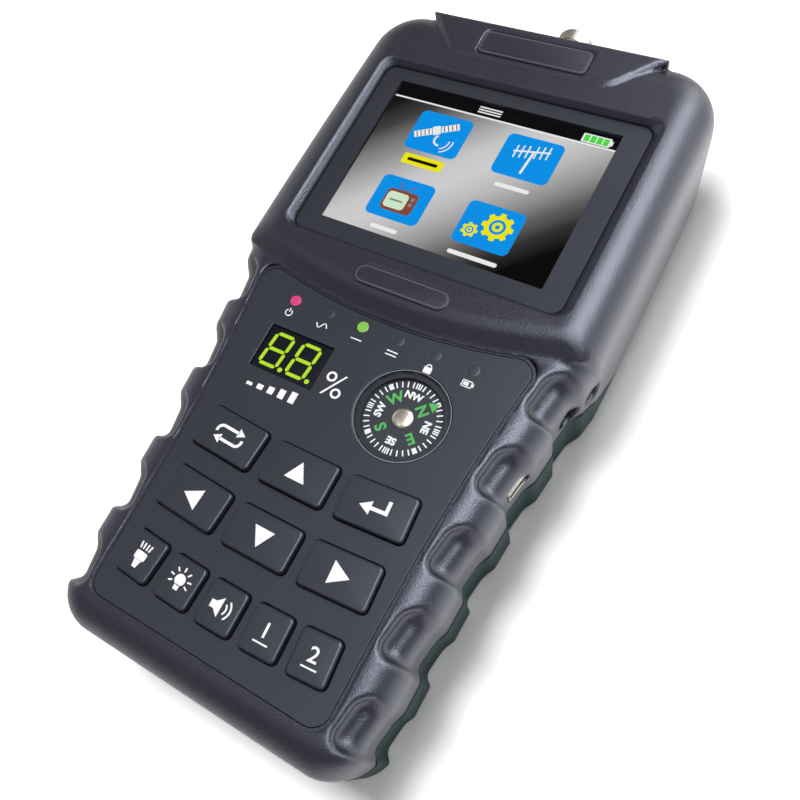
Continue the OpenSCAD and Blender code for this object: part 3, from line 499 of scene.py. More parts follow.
# %% Outlines
def arc(x, y, r, start, end, steps):
    turns = [math.radians(start + (end - start) * i / steps) for i in range(steps + 1)]
    return [(x + r * math.cos(a), y + r * math.sin(a)) for a in turns]


def disc(x, y, r, steps=48):
    return arc(x, y, r, 0, 360 * (steps - 1) / steps, steps - 1)


def round_rect(w, h, r, x=0.0, y=0.0, steps=6):
    sides = ((1, 1, 0), (-1, 1, 90), (-1, -1, 180), (1, -1, 270))
    return [p for sx, sy, a in sides
            for p in arc(x + sx * (w / 2 - r), y + sy * (h / 2 - r), r, a, a + 90, steps)]


def stroke(x0, y0, x1, y1, width):
    """A bar from one point to another."""
    length = math.hypot(x1 - x0, y1 - y0)
    nx, ny = -(y1 - y0) / length * width / 2, (x1 - x0) / length * width / 2
    return [(x0 - nx, y0 - ny), (x1 - nx, y1 - ny), (x1 + nx, y1 + ny), (x0 + nx, y0 + ny)]


def sector(x, y, r, width, start, end, steps=14):
    """A bar bent along an arc."""
    return arc(x, y, r + width / 2, start, end, steps) + arc(x, y, r - width / 2, end, start, steps)


def arrow_head(x, y, angle, size):
    """A triangle that points along an angle."""
    return arc(x, y, size, angle, angle + 240, 2)


def turned(outline, x, y, degrees=0.0):
    """An outline turned and then shifted."""
    c, s = math.cos(math.radians(degrees)), math.sin(math.radians(degrees))
    return [(c * px - s * py + x, s * px + c * py + y) for px, py in outline]


def moved(part, x, y, z=0.0, degrees=0.0):
    """A part turned about Z and then shifted."""
    points, faces, mat = part
    flat = turned([p[:2] for p in points], x, y, degrees)
    return [(px, py, p[2] + z) for (px, py), p in zip(flat, points)], faces, mat


print("points of a disc", len(disc(0, 0, 1)))

# %% Contours of shapes given by distances
# Halvings that find a crossing, the step that measures a slope, as a share of a cell, and
# how firmly a vertex is held to the middle of its crossings.
HALVINGS, NUDGE, HOLD = 10, 0.02, 0.04


def contour(field, low, high, step):
    """Skin of the shape where field is below 0, with a vertex at the sharpest point of each cell.

    Each grid edge that crosses the skin gives a point and a direction. The vertex of a cell is
    the place that lies best on all the planes they give, so that corners stay sharp."""
    axes = [np.arange(a, b + step, step) for a, b in zip(low, high)]
    grid = np.stack(np.meshgrid(*axes, indexing="ij"), -1)
    value = field(grid[..., 0], grid[..., 1], grid[..., 2])
    inside = value < 0
    one = np.eye(3, dtype=int)
    shape = np.array(value.shape)
    owners, at, facing, quads = [], [], [], []
    for axis in range(3):
        a, b = (axis + 1) % 3, (axis + 2) % 3
        first = np.moveaxis(np.moveaxis(inside, axis, 0)[:-1], 0, axis)
        second = np.moveaxis(np.moveaxis(inside, axis, 0)[1:], 0, axis)
        spots = np.argwhere(first != second)
        starts = grid[tuple(spots.T)]
        near, far = np.zeros(len(spots)), np.full(len(spots), step)
        starts_inside = inside[tuple(spots.T)]
        for _ in range(HALVINGS):
            middle = (near + far) / 2
            p = starts + middle[:, None] * one[axis]
            same = (field(*p.T) < 0) == starts_inside
            near, far = np.where(same, middle, near), np.where(same, far, middle)
        p = starts + ((near + far) / 2)[:, None] * one[axis]
        h = step * NUDGE * one
        slope = np.stack([field(*(p + h[k]).T) - field(*(p - h[k]).T) for k in range(3)], -1)
        slope /= np.maximum(np.linalg.norm(slope, axis=1, keepdims=True), 1e-9)
        ring = np.stack([np.ravel_multi_index((spots + i * one[a] + j * one[b]).T, shape)
                         for i, j in ((-1, -1), (0, -1), (0, 0), (-1, 0))], -1)
        quads.append(np.where(starts_inside[:, None], ring, ring[:, ::-1]))
        owners.append(ring.ravel())
        at.append(np.repeat(p, 4, axis=0))
        facing.append(np.repeat(slope, 4, axis=0))
    owners, at, facing = np.concatenate(owners), np.concatenate(at), np.concatenate(facing)
    cells, index = np.unique(owners, return_inverse=True)
    count = np.bincount(index)

    def total(values):
        return np.bincount(index, values)

    mean = np.stack([total(at[:, k]) for k in range(3)], -1) / count[:, None]
    reach = np.einsum("ij,ij->i", facing, at - mean[index])
    planes = np.stack([np.stack([total(facing[:, i] * facing[:, j]) for j in range(3)], -1)
                       for i in range(3)], -2)
    pull = np.stack([total(facing[:, i] * reach) for i in range(3)], -1)
    planes += np.eye(3) * HOLD * count[:, None, None]
    vertex = mean + np.linalg.solve(planes, pull[..., None])[..., 0]
    corner = np.stack([axes[k][i] for k, i in enumerate(np.unravel_index(cells, shape))], -1)
    vertex = np.clip(vertex, corner, corner + step)
    normal = np.stack([total(facing[:, k]) for k in range(3)], -1)
    normal /= np.maximum(np.linalg.norm(normal, axis=1, keepdims=True), 1e-9)
    return vertex, np.searchsorted(cells, np.concatenate(quads)), normal


ball = contour(lambda x, y, z: np.sqrt(x * x + y * y + z * z) - 3, (-4, -4, -4), (4, 4, 4), 0.5)[0]
print("a test ball of radius 3 comes out as", np.round(np.linalg.norm(ball, axis=1).mean(), 2))

# %% Shells from contours
AIR_REACH = 3.0


def shell(name, field, low, high, step, mat):
    """A contour as a mesh object, with its own normals. open_air says how free each point lies."""
    vertex, quads, normal = contour(field, low, high, step)
    mesh = bpy.data.meshes.new(name)
    mesh.from_pydata(np.clip(vertex * MM, *CAD_BOX).tolist(), [], quads.tolist())
    mesh.materials.append(mat)
    mesh.shade_smooth()
    open_air = np.clip(field(*(vertex + normal * AIR_REACH).T) / AIR_REACH, 0, 1)
    mesh.attributes.new("open_air", "FLOAT", "POINT").data.foreach_set("value", open_air)
    mesh.normals_split_custom_set_from_vertices(normal.tolist())
    print(name, "triangles", 2 * len(quads))
    return add_object(name, mesh)


def round_and(a, b, r):
    """Where both shapes are, with the edge between them rounded."""
    return np.minimum(-r, np.maximum(a, b)) + np.hypot(np.maximum(a + r, 0), np.maximum(b + r, 0))


def round_or(a, b, r):
    """Where either shape is, with the corner between them filled."""
    return np.maximum(r, np.minimum(a, b)) - np.hypot(np.maximum(r - a, 0), np.maximum(r - b, 0))


def cut(body, *limits):
    """A body without the places that lie inside all of these limits."""
    return np.maximum(body, -functools.reduce(np.maximum, limits))


def corner_distance(a, b):
    """Distance from the places where a and b are both below 0."""
    return np.hypot(np.maximum(a, 0), np.maximum(b, 0)) + np.minimum(np.maximum(a, b), 0)


def rect_distance(x, y, half_x, half_y, r):
    return corner_distance(np.abs(x) - (half_x - r), np.abs(y) - (half_y - r)) - r


print("open air is felt", AIR_REACH, "mm out")

# %% [markdown]
# ## The housing's outline
# Seen from the front the housing is widest at the neck, waisted towards the foot and drawn
# in a little towards the top. Everything that follows its edge uses one number: how far a
# point lies inside that outline. The five scoops down each side follow it too. They slant
# outwards towards the top, and each goes on down the side as a groove.

# %% Shape of the outline
HALF_LEN, HEAD_DRAW, HEAD_CORNER, FOOT_CORNER = 89.75, 1.6, 13.0, 10.5
KEYPAD_Z, SCREEN_Z, BROW_Z = 36.0, 39.7, 40.5
SEAM_Z, SEAM_DROP, SEAM_DROP_Y, SEAM_DROP_RUN = 18.0, 13.5, 4.0, 24.0
INSET_LOW, INSET_HIGH, WALL = 4.7, 8.8, 2.2
SCOOP_FIRST, SCOOP_PITCH, SCOOP_LAST, SCOOP_R, SCOOP_REACH = 1.2, 19.2, 4, 5.9, 7.6
SCOOP_SINK, SCOOP_EDGE, SCOOP_FILLET, SCOOP_RIM = 4.2, 5.2, 2.4, 1.2
SCOOP_SLANT, SLANT_START, SCOOP_END, SCOOP_FOOT_END = 0.15, 3.0, 4.0, 2.6
GROOVE_DEPTH, GROOVE_FOOT_DEPTH, GROOVE_RIM = 2.0, 2.4, 0.8


def half_width(y):
    head = NECK_HALF - HEAD_DRAW * np.square(np.maximum(y - NECK_Y, 0) / (HALF_LEN - NECK_Y))
    foot = FOOT_HALF + (NECK_HALF - FOOT_HALF) * np.clip((y + HALF_LEN) / (NECK_Y + HALF_LEN), 0, 1) ** 3
    return np.where(y > NECK_Y, head, foot)


def inset(x, y):
    """How far a point lies inside the outline."""
    corner = np.where(y > 0, HEAD_CORNER, FOOT_CORNER)
    return corner - corner_distance(np.abs(x) - (half_width(y) - corner), np.abs(y) - (HALF_LEN - corner))


def shouldered(depth, z, face, r):
    """A body whose shoulder rounds off below its face."""
    return corner_distance(r - depth, z - (face - r)) - r


def nearest_scoop(y):
    """The middle of the nearest scoop, and the half width that its cut is measured from."""
    row = np.clip(np.round((SCOOP_FIRST - y) / SCOOP_PITCH), 0, SCOOP_LAST)
    middle = SCOOP_FIRST - row * SCOOP_PITCH
    return middle, half_width(middle) + SCOOP_SLANT * np.maximum(y - middle + SLANT_START, 0)


def scoop_long(section, y, middle):
    """A cut of this section and one scoop long, with a crisper end towards the foot."""
    end = np.where(y > middle, SCOOP_END, SCOOP_FOOT_END)
    return round_and(section, np.abs(y - middle) - SCOOP_R, end)


def seam_z(y):
    """Height of the line between the shells, which drops towards the back beside the screen."""
    along = np.clip((y - SEAM_DROP_Y) / SEAM_DROP_RUN, 0, 1)
    return SEAM_Z - SEAM_DROP * along * along * (3 - 2 * along)


print("half width at the foot, the neck and the top", half_width(np.array([-HALF_LEN, NECK_Y, HALF_LEN])))

# %% [markdown]
# ## The front shell
# One shape holds it all: the keypad level, the raised screen end behind its sloping chin,
# the brow, the scoops, and the recesses for the window, the panel and the plates. Booleans
# and bevels could make it, but a bevel breaks where a scoop runs over a shoulder. Distances
# blend there, and their rounded joins give the soft rims that catch the light.

# %% Levels of the front shell
CHIN_Y, CHIN_R, CHIN_RUN, CHIN_ROUND, CHIN_FILLET = 3.4, 135.0, 4.6, 1.1, 0.5
SHOULDER, KEYPAD_SHOULDER, KEYPAD_IN = 10.0, 8.5, 0.1
BROW_Y, BROW_DEPTH, BROW_LOW, BROW_TOP, BROW_RUN = 75.7, 11.2, 20.6, 30.8, 1.2
BROW_CORNER, BROW_OUT, BROW_ROUND, BROW_EDGE, BROW_FILLET = 1.5, 3.4, 0.6, 0.25, 0.2


def front_levels(x, y, z, depth):
    """The keypad level, the screen end and the brow, without their openings."""
    slope = CHIN_RUN / (SCREEN_Z - KEYPAD_Z)
    reach = np.hypot(x, y - CHIN_Y - CHIN_R) - CHIN_R + slope * np.maximum(z - KEYPAD_Z, 0)
    head = round_and(shouldered(depth, z, SCREEN_Z, SHOULDER), reach / math.hypot(1, slope), CHIN_ROUND)
    body = round_or(shouldered(depth - KEYPAD_IN, z, KEYPAD_Z, KEYPAD_SHOULDER), head, CHIN_FILLET)
    lean = (BROW_TOP - BROW_LOW) / BROW_DEPTH
    end = (np.abs(x) - BROW_LOW - lean * (y - BROW_Y)) / math.hypot(1, lean)
    brow = np.maximum(round_and(end, BROW_Y - y, BROW_CORNER), y - BROW_Y - BROW_DEPTH)
    side = (brow + BROW_RUN * np.maximum(z - SCREEN_Z, 0)) / math.hypot(1, BROW_RUN)
    crest = round_and(body - BROW_OUT, z - BROW_Z, BROW_ROUND)
    return round_or(body, round_and(crest, side, BROW_EDGE), BROW_FILLET)


print("the screen end stands", round(SCREEN_Z - KEYPAD_Z, 2), "mm above the keypad level")

# %% Front shell
PANEL_MARGIN, PANEL_FOOT, PANEL_GAP, PANEL_CORNER, PANEL_Z = 9.6, -80.95, 0.7, 4.0, 34.0
PANEL_SEAT_GAP, PANEL_LEDGE = 0.45, 1.8
LENS_W, LENS_H, LENS_CORNER, LENS_TOP, LENS_BOTTOM, SCREEN_Y = 69.2, 51.4, 2.6, 37.65, 36.65, 43.6
BEVEL_X, BEVEL_Y, BEVEL_OVERLAP = 2.0, 1.5, 0.5
GLASS_W, GLASS_H, GLASS_GAP, GLASS_HOLE_CORNER = 58.6, 44.2, 0.3, 0.6
TRAY_Z, TRAY_HALF, TRAY_GAP = 35.9, 27.5, 0.3
SIDE_ROOF, PANEL_ROOF, CUT_Z, CUT_X, TOP_CUT = 8.0, 1.4, 30.0, 30.0, 10.0
PLATE_T, SEAT_GAP = 0.5, 0.15
# Plates: the place of the middle, the width, the height and the radius of the corners.
BROW_PLATE, BADGE = (0.0, 80.5, 28.0, 7.0, 1.6), (0.0, 11.0, 24.0, 5.0, 2.49)
SOCKET_Z, SAT_X, AERIAL_X, SOCKET_HOLE_R, TORCH_X, TORCH_R = 23.5, 1.6, 20.0, 4.9, -20.0, 3.6
JACK_Z, POWER_Y, POWER_HOLE_R, SOUND_Y, SOUND_HOLE_R = 21.6, 3.3, 3.15, 10.9, 2.98
DATA_Y, DATA_Z, DATA_HOLE_HALF, DATA_HOLE_RISE = -16.6, 25.15, 3.1, 1.25


def panel_distance(x, y):
    """How far a point lies outside the control panel."""
    side = np.abs(x) - (half_width(y) - PANEL_MARGIN)
    head = y - (CHIN_Y - PANEL_GAP) - np.square(x) / (2 * CHIN_R)
    return round_and(round_and(side, PANEL_FOOT - y, PANEL_CORNER), head, PANEL_CORNER)


def screen_cut(body, x, y, z):
    """A body with the window's bevel, its seat, and the hole for the display."""
    spread = (z - LENS_TOP) / (SCREEN_Z - LENS_TOP)
    bevel = rect_distance(x, y, LENS_W / 2 + BEVEL_X * spread, LENS_H / 2 + BEVEL_Y * spread,
                          LENS_CORNER + spread)
    body = cut(body, bevel, LENS_TOP - z)
    seat = rect_distance(x, y, LENS_W / 2 + SEAT_GAP, LENS_H / 2 + SEAT_GAP, LENS_CORNER)
    body = cut(body, seat, LENS_BOTTOM - z, z - LENS_TOP - BEVEL_OVERLAP)
    hole = rect_distance(x, y, GLASS_W / 2 + GLASS_GAP, GLASS_H / 2 + GLASS_GAP, GLASS_HOLE_CORNER)
    return cut(body, hole, CUT_Z - z)


def front_field(x, y, z):
    """Distance from the front shell, below 0 inside it."""
    depth = inset(x, y)
    body = front_levels(x, y, z, depth)
    middle, edge = nearest_scoop(y)
    within = edge - np.abs(x)
    sunk = shouldered(within - GROOVE_DEPTH, z, KEYPAD_Z - SCOOP_SINK, SCOOP_EDGE)
    bowl = round_and(within - SCOOP_REACH, -sunk, SCOOP_FILLET)
    body = round_and(body, -scoop_long(bowl, y, middle), SCOOP_RIM)
    body = cut(body, INSET_LOW - depth, z - KEYPAD_Z + SIDE_ROOF)
    body = cut(body, INSET_HIGH - depth, z - PANEL_Z + PANEL_ROOF)
    body = cut(body, INSET_HIGH + TRAY_GAP - depth, z - TRAY_Z, np.abs(y - SCREEN_Y) - TRAY_HALF)
    body = screen_cut(body, x, y - SCREEN_Y, z)
    panel = panel_distance(x, y)
    body = cut(body, panel - PANEL_SEAT_GAP, PANEL_Z - z)
    body = cut(body, panel + PANEL_LEDGE, CUT_Z - z)
    for (px, py, w, h, r), top in ((BROW_PLATE, BROW_Z), (BADGE, SCREEN_Z)):
        pocket = rect_distance(x - px, y - py, w / 2 + SEAT_GAP, h / 2 + SEAT_GAP, r)
        body = cut(body, pocket, top - PLATE_T - z)
    for hole_x, r in ((SAT_X, SOCKET_HOLE_R), (AERIAL_X, SOCKET_HOLE_R), (TORCH_X, TORCH_R + SEAT_GAP)):
        body = cut(body, np.hypot(x - hole_x, z - SOCKET_Z) - r, HALF_LEN - TOP_CUT - y)
    for hole_y, r in ((POWER_Y, POWER_HOLE_R), (SOUND_Y, SOUND_HOLE_R)):
        body = cut(body, np.hypot(y - hole_y, z - JACK_Z) - r, CUT_X - x)
    body = cut(body, np.abs(y - DATA_Y) - DATA_HOLE_HALF, np.abs(z - DATA_Z) - DATA_HOLE_RISE, CUT_X - x)
    return np.maximum(body, seam_z(y) - z)


FRONT_STEP, FRONT_LOW, FRONT_HIGH = 0.7, (-47.25, -90.65, 2.675), (47.25, 90.65, 41.9)
front = shell("front_shell", front_field, FRONT_LOW, FRONT_HIGH, FRONT_STEP, HOUSING)
hand_over(front, "housing", "housing_abs", "front_housing")

# %% [markdown]
# ## The rear shell
# The back is a tray with a rounded edge. The grooves run on down its sides and grow
# deeper, six wells take the screws, and a ring of small holes lets the sound out. Those
# holes are finer than the contour's cells, so they sit in a disc of their own. The line
# between the two shells drops towards the back beside the screen.

# %% Rear shell
BACK_EDGE, WELL_R, WELL_DEPTH, POST_R, POST_Z, SCREW_HOLE_R = 4.0, 2.7, 6.0, 3.2, 1.0, 1.5
SPEAKER_Y, GRILLE_R, GRILLE_CUT, HOLE_R, HOLE_PITCH = 24.0, 10.6, 6.0, 0.9, 4.0
CASE_POSTS = ((37.55, 80.15), (39.4, 20.5), (32.8, -81.95))
REAR_STEP, REAR_LOW, REAR_HIGH = 0.8, (-47.6, -90.5, -1.13), (47.6, 90.5, 19.4)


def rear_field(x, y, z):
    """Distance from the rear shell, below 0 inside it."""
    depth = inset(x, y)
    body = corner_distance(BACK_EDGE - depth, BACK_EDGE - z) - BACK_EDGE
    middle, edge = nearest_scoop(y)
    deep = GROOVE_FOOT_DEPTH + (GROOVE_DEPTH - GROOVE_FOOT_DEPTH) * np.clip(z / SEAM_Z, 0, 1)
    body = round_and(body, -scoop_long(edge - np.abs(x) - deep, y, middle), GROOVE_RIM)
    body = cut(body, INSET_LOW - depth, WALL - z)
    body = np.maximum(body, z - seam_z(y))
    for px, py in CASE_POSTS:
        away = np.hypot(np.abs(x) - px, y - py)
        body = np.minimum(body, np.maximum(away - POST_R, POST_Z - z))
        body = cut(body, away - WELL_R, z - WELL_DEPTH)
        body = cut(body, away - SCREW_HOLE_R)
    body = cut(body, np.hypot(x, y - SPEAKER_Y) - GRILLE_R, z - GRILLE_CUT)
    return np.maximum(body, z - SEAM_Z)


rear = shell("rear_shell", rear_field, REAR_LOW, REAR_HIGH, REAR_STEP, REAR)
hand_over(rear, "housing", "housing_abs", "rear_housing")

# %% [markdown]
# ## Flat pieces with holes
# The grille and the control panel are plates full of openings. Booleans could cut these one
# by one, but Blender also fills a flat curve that has smaller curves in it, and rounds every
# edge by its bevel, which takes all the openings at once.

# %% Filled curves
def pierced_plate(name, outlines, z0, z1, edge, mat):
    """A plate with holes, every edge rounded, as a mesh object."""
    curve = bpy.data.curves.new(name, "CURVE")
    curve.dimensions = "2D"
    curve.fill_mode = "BOTH"
    curve.extrude = ((z1 - z0) / 2 - edge) * MM
    curve.bevel_depth = edge * MM
    curve.offset = -edge * MM
    curve.bevel_resolution = 2
    for outline in outlines:
        line = curve.splines.new("POLY")
        line.points.add(len(outline) - 1)
        line.points.foreach_set("co", [c for x, y in outline for c in (x * MM, y * MM, 0, 1)])
        line.use_cyclic_u = True
    mesh = as_mesh(add_object(name + "_curve", curve))
    mesh.name = name
    mesh.transform(Matrix.Translation((0, 0, (z0 + z1) / 2 * MM)))
    mesh.materials.clear()
    mesh.materials.append(mat)
    soften(mesh)
    return add_object(name, mesh)


# %% Sound grille
GRILLE_GAP, GRILLE_EDGE = 0.03, 0.15
holes = [disc(0.0, SPEAKER_Y, HOLE_R, 20)]
for ring in (1, 2):
    for a in [math.pi * i / (3 * ring) for i in range(6 * ring)]:
        out = HOLE_PITCH * ring
        holes.append(disc(out * math.cos(a), SPEAKER_Y + out * math.sin(a), HOLE_R, 20))
grille_edge = disc(0, SPEAKER_Y, GRILLE_R - GRILLE_GAP, 72)
grille = pierced_plate("sound_grille", [grille_edge] + holes, 0.0, WALL, GRILLE_EDGE, REAR)
hand_over(grille, "housing", "housing_abs")
print("sound holes", len(holes))

# %% [markdown]
# ## The control panel
# A satin plate set into the keypad level. Its top edge follows the chin, and it has an
# opening for each key, each lamp, the digits and the compass. A narrow rim of the housing
# goes round it, and the gap between the two draws a fine line. The rim could be left to
# the shell, but it is finer than the contour's cells, so it is a plate of its own.

# %% Panel outline and openings
KEY_GAP, KEY_CORNER, KEY_H, KEY_W, SMALL_W = 0.3, 1.2, 10.2, 16.3, 9.0
KEY_PITCH, SMALL_PITCH, ROW_ARC = 19.15, 11.34, 290.0
ROW_Y = (-37.2, -53.0, -69.8)
KEYS = {"recall": (-1, 0), "up": (0, 0), "enter": (1, 0), "left": (-1, 1), "down": (0, 1), "right": (1, 1),
        "torch": (-2, 2), "light": (-1, 2), "sound": (0, 2), "one": (1, 2), "two": (2, 2)}


def key_place(key):
    """Where a key sits, how far it is turned, and its width. The rows follow an arc."""
    column, row = KEYS[key]
    pitch, width = (SMALL_PITCH, SMALL_W) if row == 2 else (KEY_PITCH, KEY_W)
    tilt = math.asin(column * pitch / ROW_ARC)
    return column * pitch, ROW_Y[row] + ROW_ARC * (1 - math.cos(tilt)), math.degrees(tilt), width


def panel_outline(grow, steps=10):
    """The panel's edge, moved out by grow."""
    foot, head = PANEL_FOOT - grow, CHIN_Y - PANEL_GAP + grow
    r = PANEL_CORNER + grow

    def side(y):
        return float(half_width(y)) - PANEL_MARGIN + grow

    x_top = side(head) - r
    y_top = head + x_top ** 2 / (2 * CHIN_R) - r
    tilt = math.degrees(math.asin(x_top / CHIN_R))
    right = arc(side(foot + r) - r, foot + r, r, -90, 0, steps)
    right += [(side(y), y) for y in np.linspace(foot + r, y_top, 32)[1:-1]]
    right += arc(x_top, y_top, r, 0, 90 + tilt, steps)
    right += [(x, head + x ** 2 / (2 * CHIN_R)) for x in [x_top * i / 16 for i in range(15, 0, -1)]]
    return right + [(-x, y) for x, y in reversed(right)]


print("points of the panel's edge", len(panel_outline(0.0)))

# %% Panel
LAMP_PITCH, LAMP_R, LAMP_COUNT, LAMP_GAP = 9.35, 1.25, 6, 0.02
DIGITS_X, DIGITS_Y, DIGITS_W, DIGITS_H, DIGITS_GAP = -16.8, -13.1, 17.1, 11.1, 0.15
COMPASS_X, COMPASS_Y, WELL_OUT = 13.8, -15.7, 10.9
PANEL_TOP, PANEL_EDGE = KEYPAD_Z + 0.04, 0.12
RIM_OUT, RIM_IN, RIM_BOTTOM, RIM_TOP, RIM_EDGE = 0.75, 0.08, KEYPAD_Z - 0.8, KEYPAD_Z + 0.015, 0.03

openings = []
for key in KEYS:
    kx, ky, tilt, width = key_place(key)
    opening = round_rect(width + 2 * KEY_GAP, KEY_H + 2 * KEY_GAP, KEY_CORNER + KEY_GAP)
    openings.append(turned(opening, kx, ky, tilt))
lamp_x = [(i - (LAMP_COUNT - 1) / 2) * LAMP_PITCH for i in range(LAMP_COUNT)]
openings += [disc(x, 0, LAMP_R + LAMP_GAP, 32) for x in lamp_x]
openings.append(round_rect(DIGITS_W + 2 * DIGITS_GAP, DIGITS_H + 2 * DIGITS_GAP, 0.3, DIGITS_X, DIGITS_Y, 3))
openings.append(disc(COMPASS_X, COMPASS_Y, WELL_OUT + SEAT_GAP, 96))
panel = pierced_plate("panel_plate", [panel_outline(-0.05)] + openings, PANEL_Z, PANEL_TOP, PANEL_EDGE, PANEL)
hand_over(panel, "housing", "panel_abs", "control_panel")
rim_edges = [panel_outline(RIM_OUT), panel_outline(RIM_IN)]
rim = pierced_plate("panel_rim", rim_edges, RIM_BOTTOM, RIM_TOP, RIM_EDGE, RIM)
hand_over(rim, "housing", "housing_abs")
print("panel openings", len(openings))

# %% [markdown]
# ## The keys
# Each key is a flat-topped cap with a rounded rim, standing on a lip that the panel holds
# down. A cube with a bevel would do for the cap, but rings of points give the lip as well,
# in one skin. Its symbol is white screen print, so it is a layer of ink two hundredths of
# a millimetre thick, joined to the cap so that it moves with it.

# %% Ink
INK_T = 0.02
KEY_TOP, KEY_EDGE, LIP_TOP, LIP_BOTTOM, LIP = 37.5, 0.6, 33.7, 32.8, 0.8


def letters(text, size, x, y, z, mat, degrees=0.0, bold=0.0):
    """Plain letters or numbers as a thin layer of ink, centred on a point."""
    curve = bpy.data.curves.new("letters", "FONT")
    curve.body = text
    curve.size = size * MM
    curve.align_x, curve.align_y = "CENTER", "CENTER"
    curve.extrude = INK_T / 2 * MM
    curve.offset = bold * MM
    curve.resolution_u = 6
    points, faces, mat = part_of(as_mesh(add_object("letters", curve)), mat)
    mid_x, mid_y = [(max(p[k] for p in points) + min(p[k] for p in points)) / 2 for k in (0, 1)]
    points = [(px - mid_x, py - mid_y, pz) for px, py, pz in points]
    return moved((points, faces, mat), x, y, z + INK_T / 2, degrees)


def mark(shapes, scale=1.0, z=KEY_TOP):
    """Flat shapes as white ink on a surface."""
    return [slab([(scale * x, scale * y) for x, y in shape], z, z + INK_T, INK) for shape in shapes]


print("ink", INK_T, "mm thick")

# %% Key symbols
ICON, ENTER_ICON, ARROW, NUMBER, NUMBER_BOLD = 1.15, 1.2, 2.95, 4.6, 0.06
loop = [stroke(-1.9, 1.35, 1.6, 1.35, 0.62), stroke(1.9, -1.35, -1.6, -1.35, 0.62),
        sector(-1.9, 0.15, 1.2, 0.62, 90, 200), sector(1.9, -0.15, 1.2, 0.62, -90, 20),
        arrow_head(2.0, 1.35, 0, 1.15), arrow_head(-2.0, -1.35, 180, 1.15)]
enter = [[(-0.75, -0.75), (2.55, -0.75), (2.55, 1.9), (1.85, 1.9), (1.85, -0.05), (-0.75, -0.05)],
         arrow_head(-1.5, -0.4, 180, 1.5)]
torch = [round_rect(2.6, 1.7, 0.4, 0, -0.1), [(-0.8, -1.0), (0.8, -1.0), (0.45, -2.6), (-0.45, -2.6)],
         *[stroke(x, 1.2, x * 1.25, 2.5, 0.36) for x in (-1.0, -0.34, 0.34, 1.0)]]
bulb = [disc(0, 0.35, 1.15, 24), round_rect(1.1, 1.1, 0.2, 0, -1.15)]
for a in [math.radians(v) for v in (-25, 10, 50, 90, 130, 170, 205)]:
    c, s = math.cos(a), math.sin(a)
    bulb.append(stroke(1.6 * c, 0.35 + 1.6 * s, 2.5 * c, 0.35 + 2.5 * s, 0.32))
sound = [[(-2.2, -0.75), (-1.25, -0.75), (0.1, -1.9), (0.1, 1.9), (-1.25, 0.75), (-2.2, 0.75)],
         sector(-0.3, 0, 1.5, 0.36, -40, 40), sector(-0.3, 0, 2.4, 0.36, -44, 44)]
SYMBOLS = {"recall": mark(loop, ICON), "torch": mark(torch, ICON), "light": mark(bulb, ICON),
           "sound": mark(sound, ICON), "enter": mark(enter, ENTER_ICON)}
for key, x, y, angle in (("up", 0, -0.4, 90), ("down", 0, 0.4, 270),
                         ("left", 0.4, 0, 180), ("right", -0.4, 0, 0)):
    SYMBOLS[key] = mark([arrow_head(x, y, angle, ARROW)])
for key, number in (("one", "1"), ("two", "2")):
    SYMBOLS[key] = [letters(number, NUMBER, 0, 0.5, KEY_TOP, INK, bold=NUMBER_BOLD)]
    SYMBOLS[key] += mark([stroke(-1.8, -2.3, 1.8, -2.3, 0.36)])
print("symbols", len(SYMBOLS))

# %% Key caps
for key in KEYS:
    kx, ky, tilt, width = key_place(key)
    rings = [(-LIP, LIP_BOTTOM), (-LIP, LIP_TOP), (0.0, LIP_TOP)] + round_rim(KEY_TOP, KEY_EDGE, 5)
    cap = stacked(lambda d: round_rect(width - 2 * d, KEY_H - 2 * d, KEY_CORNER - d), rings, KEYCAP)
    parts = [moved(part, kx, ky, 0, tilt) for part in [cap] + SYMBOLS[key]]
    piece(f"{key}_keycap", parts, f"{key}_key", "key_abs", f"key_{key}")
print("keys", len(KEYS))

# %% [markdown]
# ## Window and picture
# The window is a clear plate whose border is printed dark. Behind it the display gives its
# own light: a bar along the top, a grey ground that runs from dark to light to black, and
# four blue tiles with plain symbols. An image could fill the screen, but thin lit shapes
# stay sharp from any distance and need no file.

# %% Window
VIEW_W, VIEW_H, VIEW_X, VIEW_Y, VIEW_CORNER = 57.9, 43.1, -0.35, SCREEN_Y + 0.55, 0.2
CLEAR_GAP = 0.02

lens_edge = round_rect(LENS_W, LENS_H, LENS_CORNER, 0, SCREEN_Y)
lens_hole = round_rect(VIEW_W, VIEW_H, VIEW_CORNER, VIEW_X, VIEW_Y)
clear_edge = round_rect(VIEW_W - CLEAR_GAP, VIEW_H - CLEAR_GAP, VIEW_CORNER, VIEW_X, VIEW_Y)
window_parts = [frame_band(lens_edge, lens_hole, LENS_BOTTOM, LENS_TOP, BORDER),
                slab(clear_edge, LENS_BOTTOM, LENS_TOP - CLEAR_GAP, ACRYLIC)]
piece("window_plate", window_parts, "housing", "window_acrylic", "screen_window")
print("clear part of the window", VIEW_W, "x", VIEW_H, "mm")

# %% Ground of the picture
LCD_W, LCD_H, DISPLAY_Z, DISPLAY_BACK, LAYER = 57.6, 43.2, 36.55, 34.0, 0.016
GREYS = ((0.06, "#101010"), (0.15, "#3e3e3e"), (0.28, "#919191"), (0.40, "#c7c7c7"), (0.48, "#cdcdcd"),
         (0.57, "#b8b8b8"), (0.65, "#969696"), (0.73, "#606060"), (0.80, "#2e2e2e"), (0.87, "#040404"))

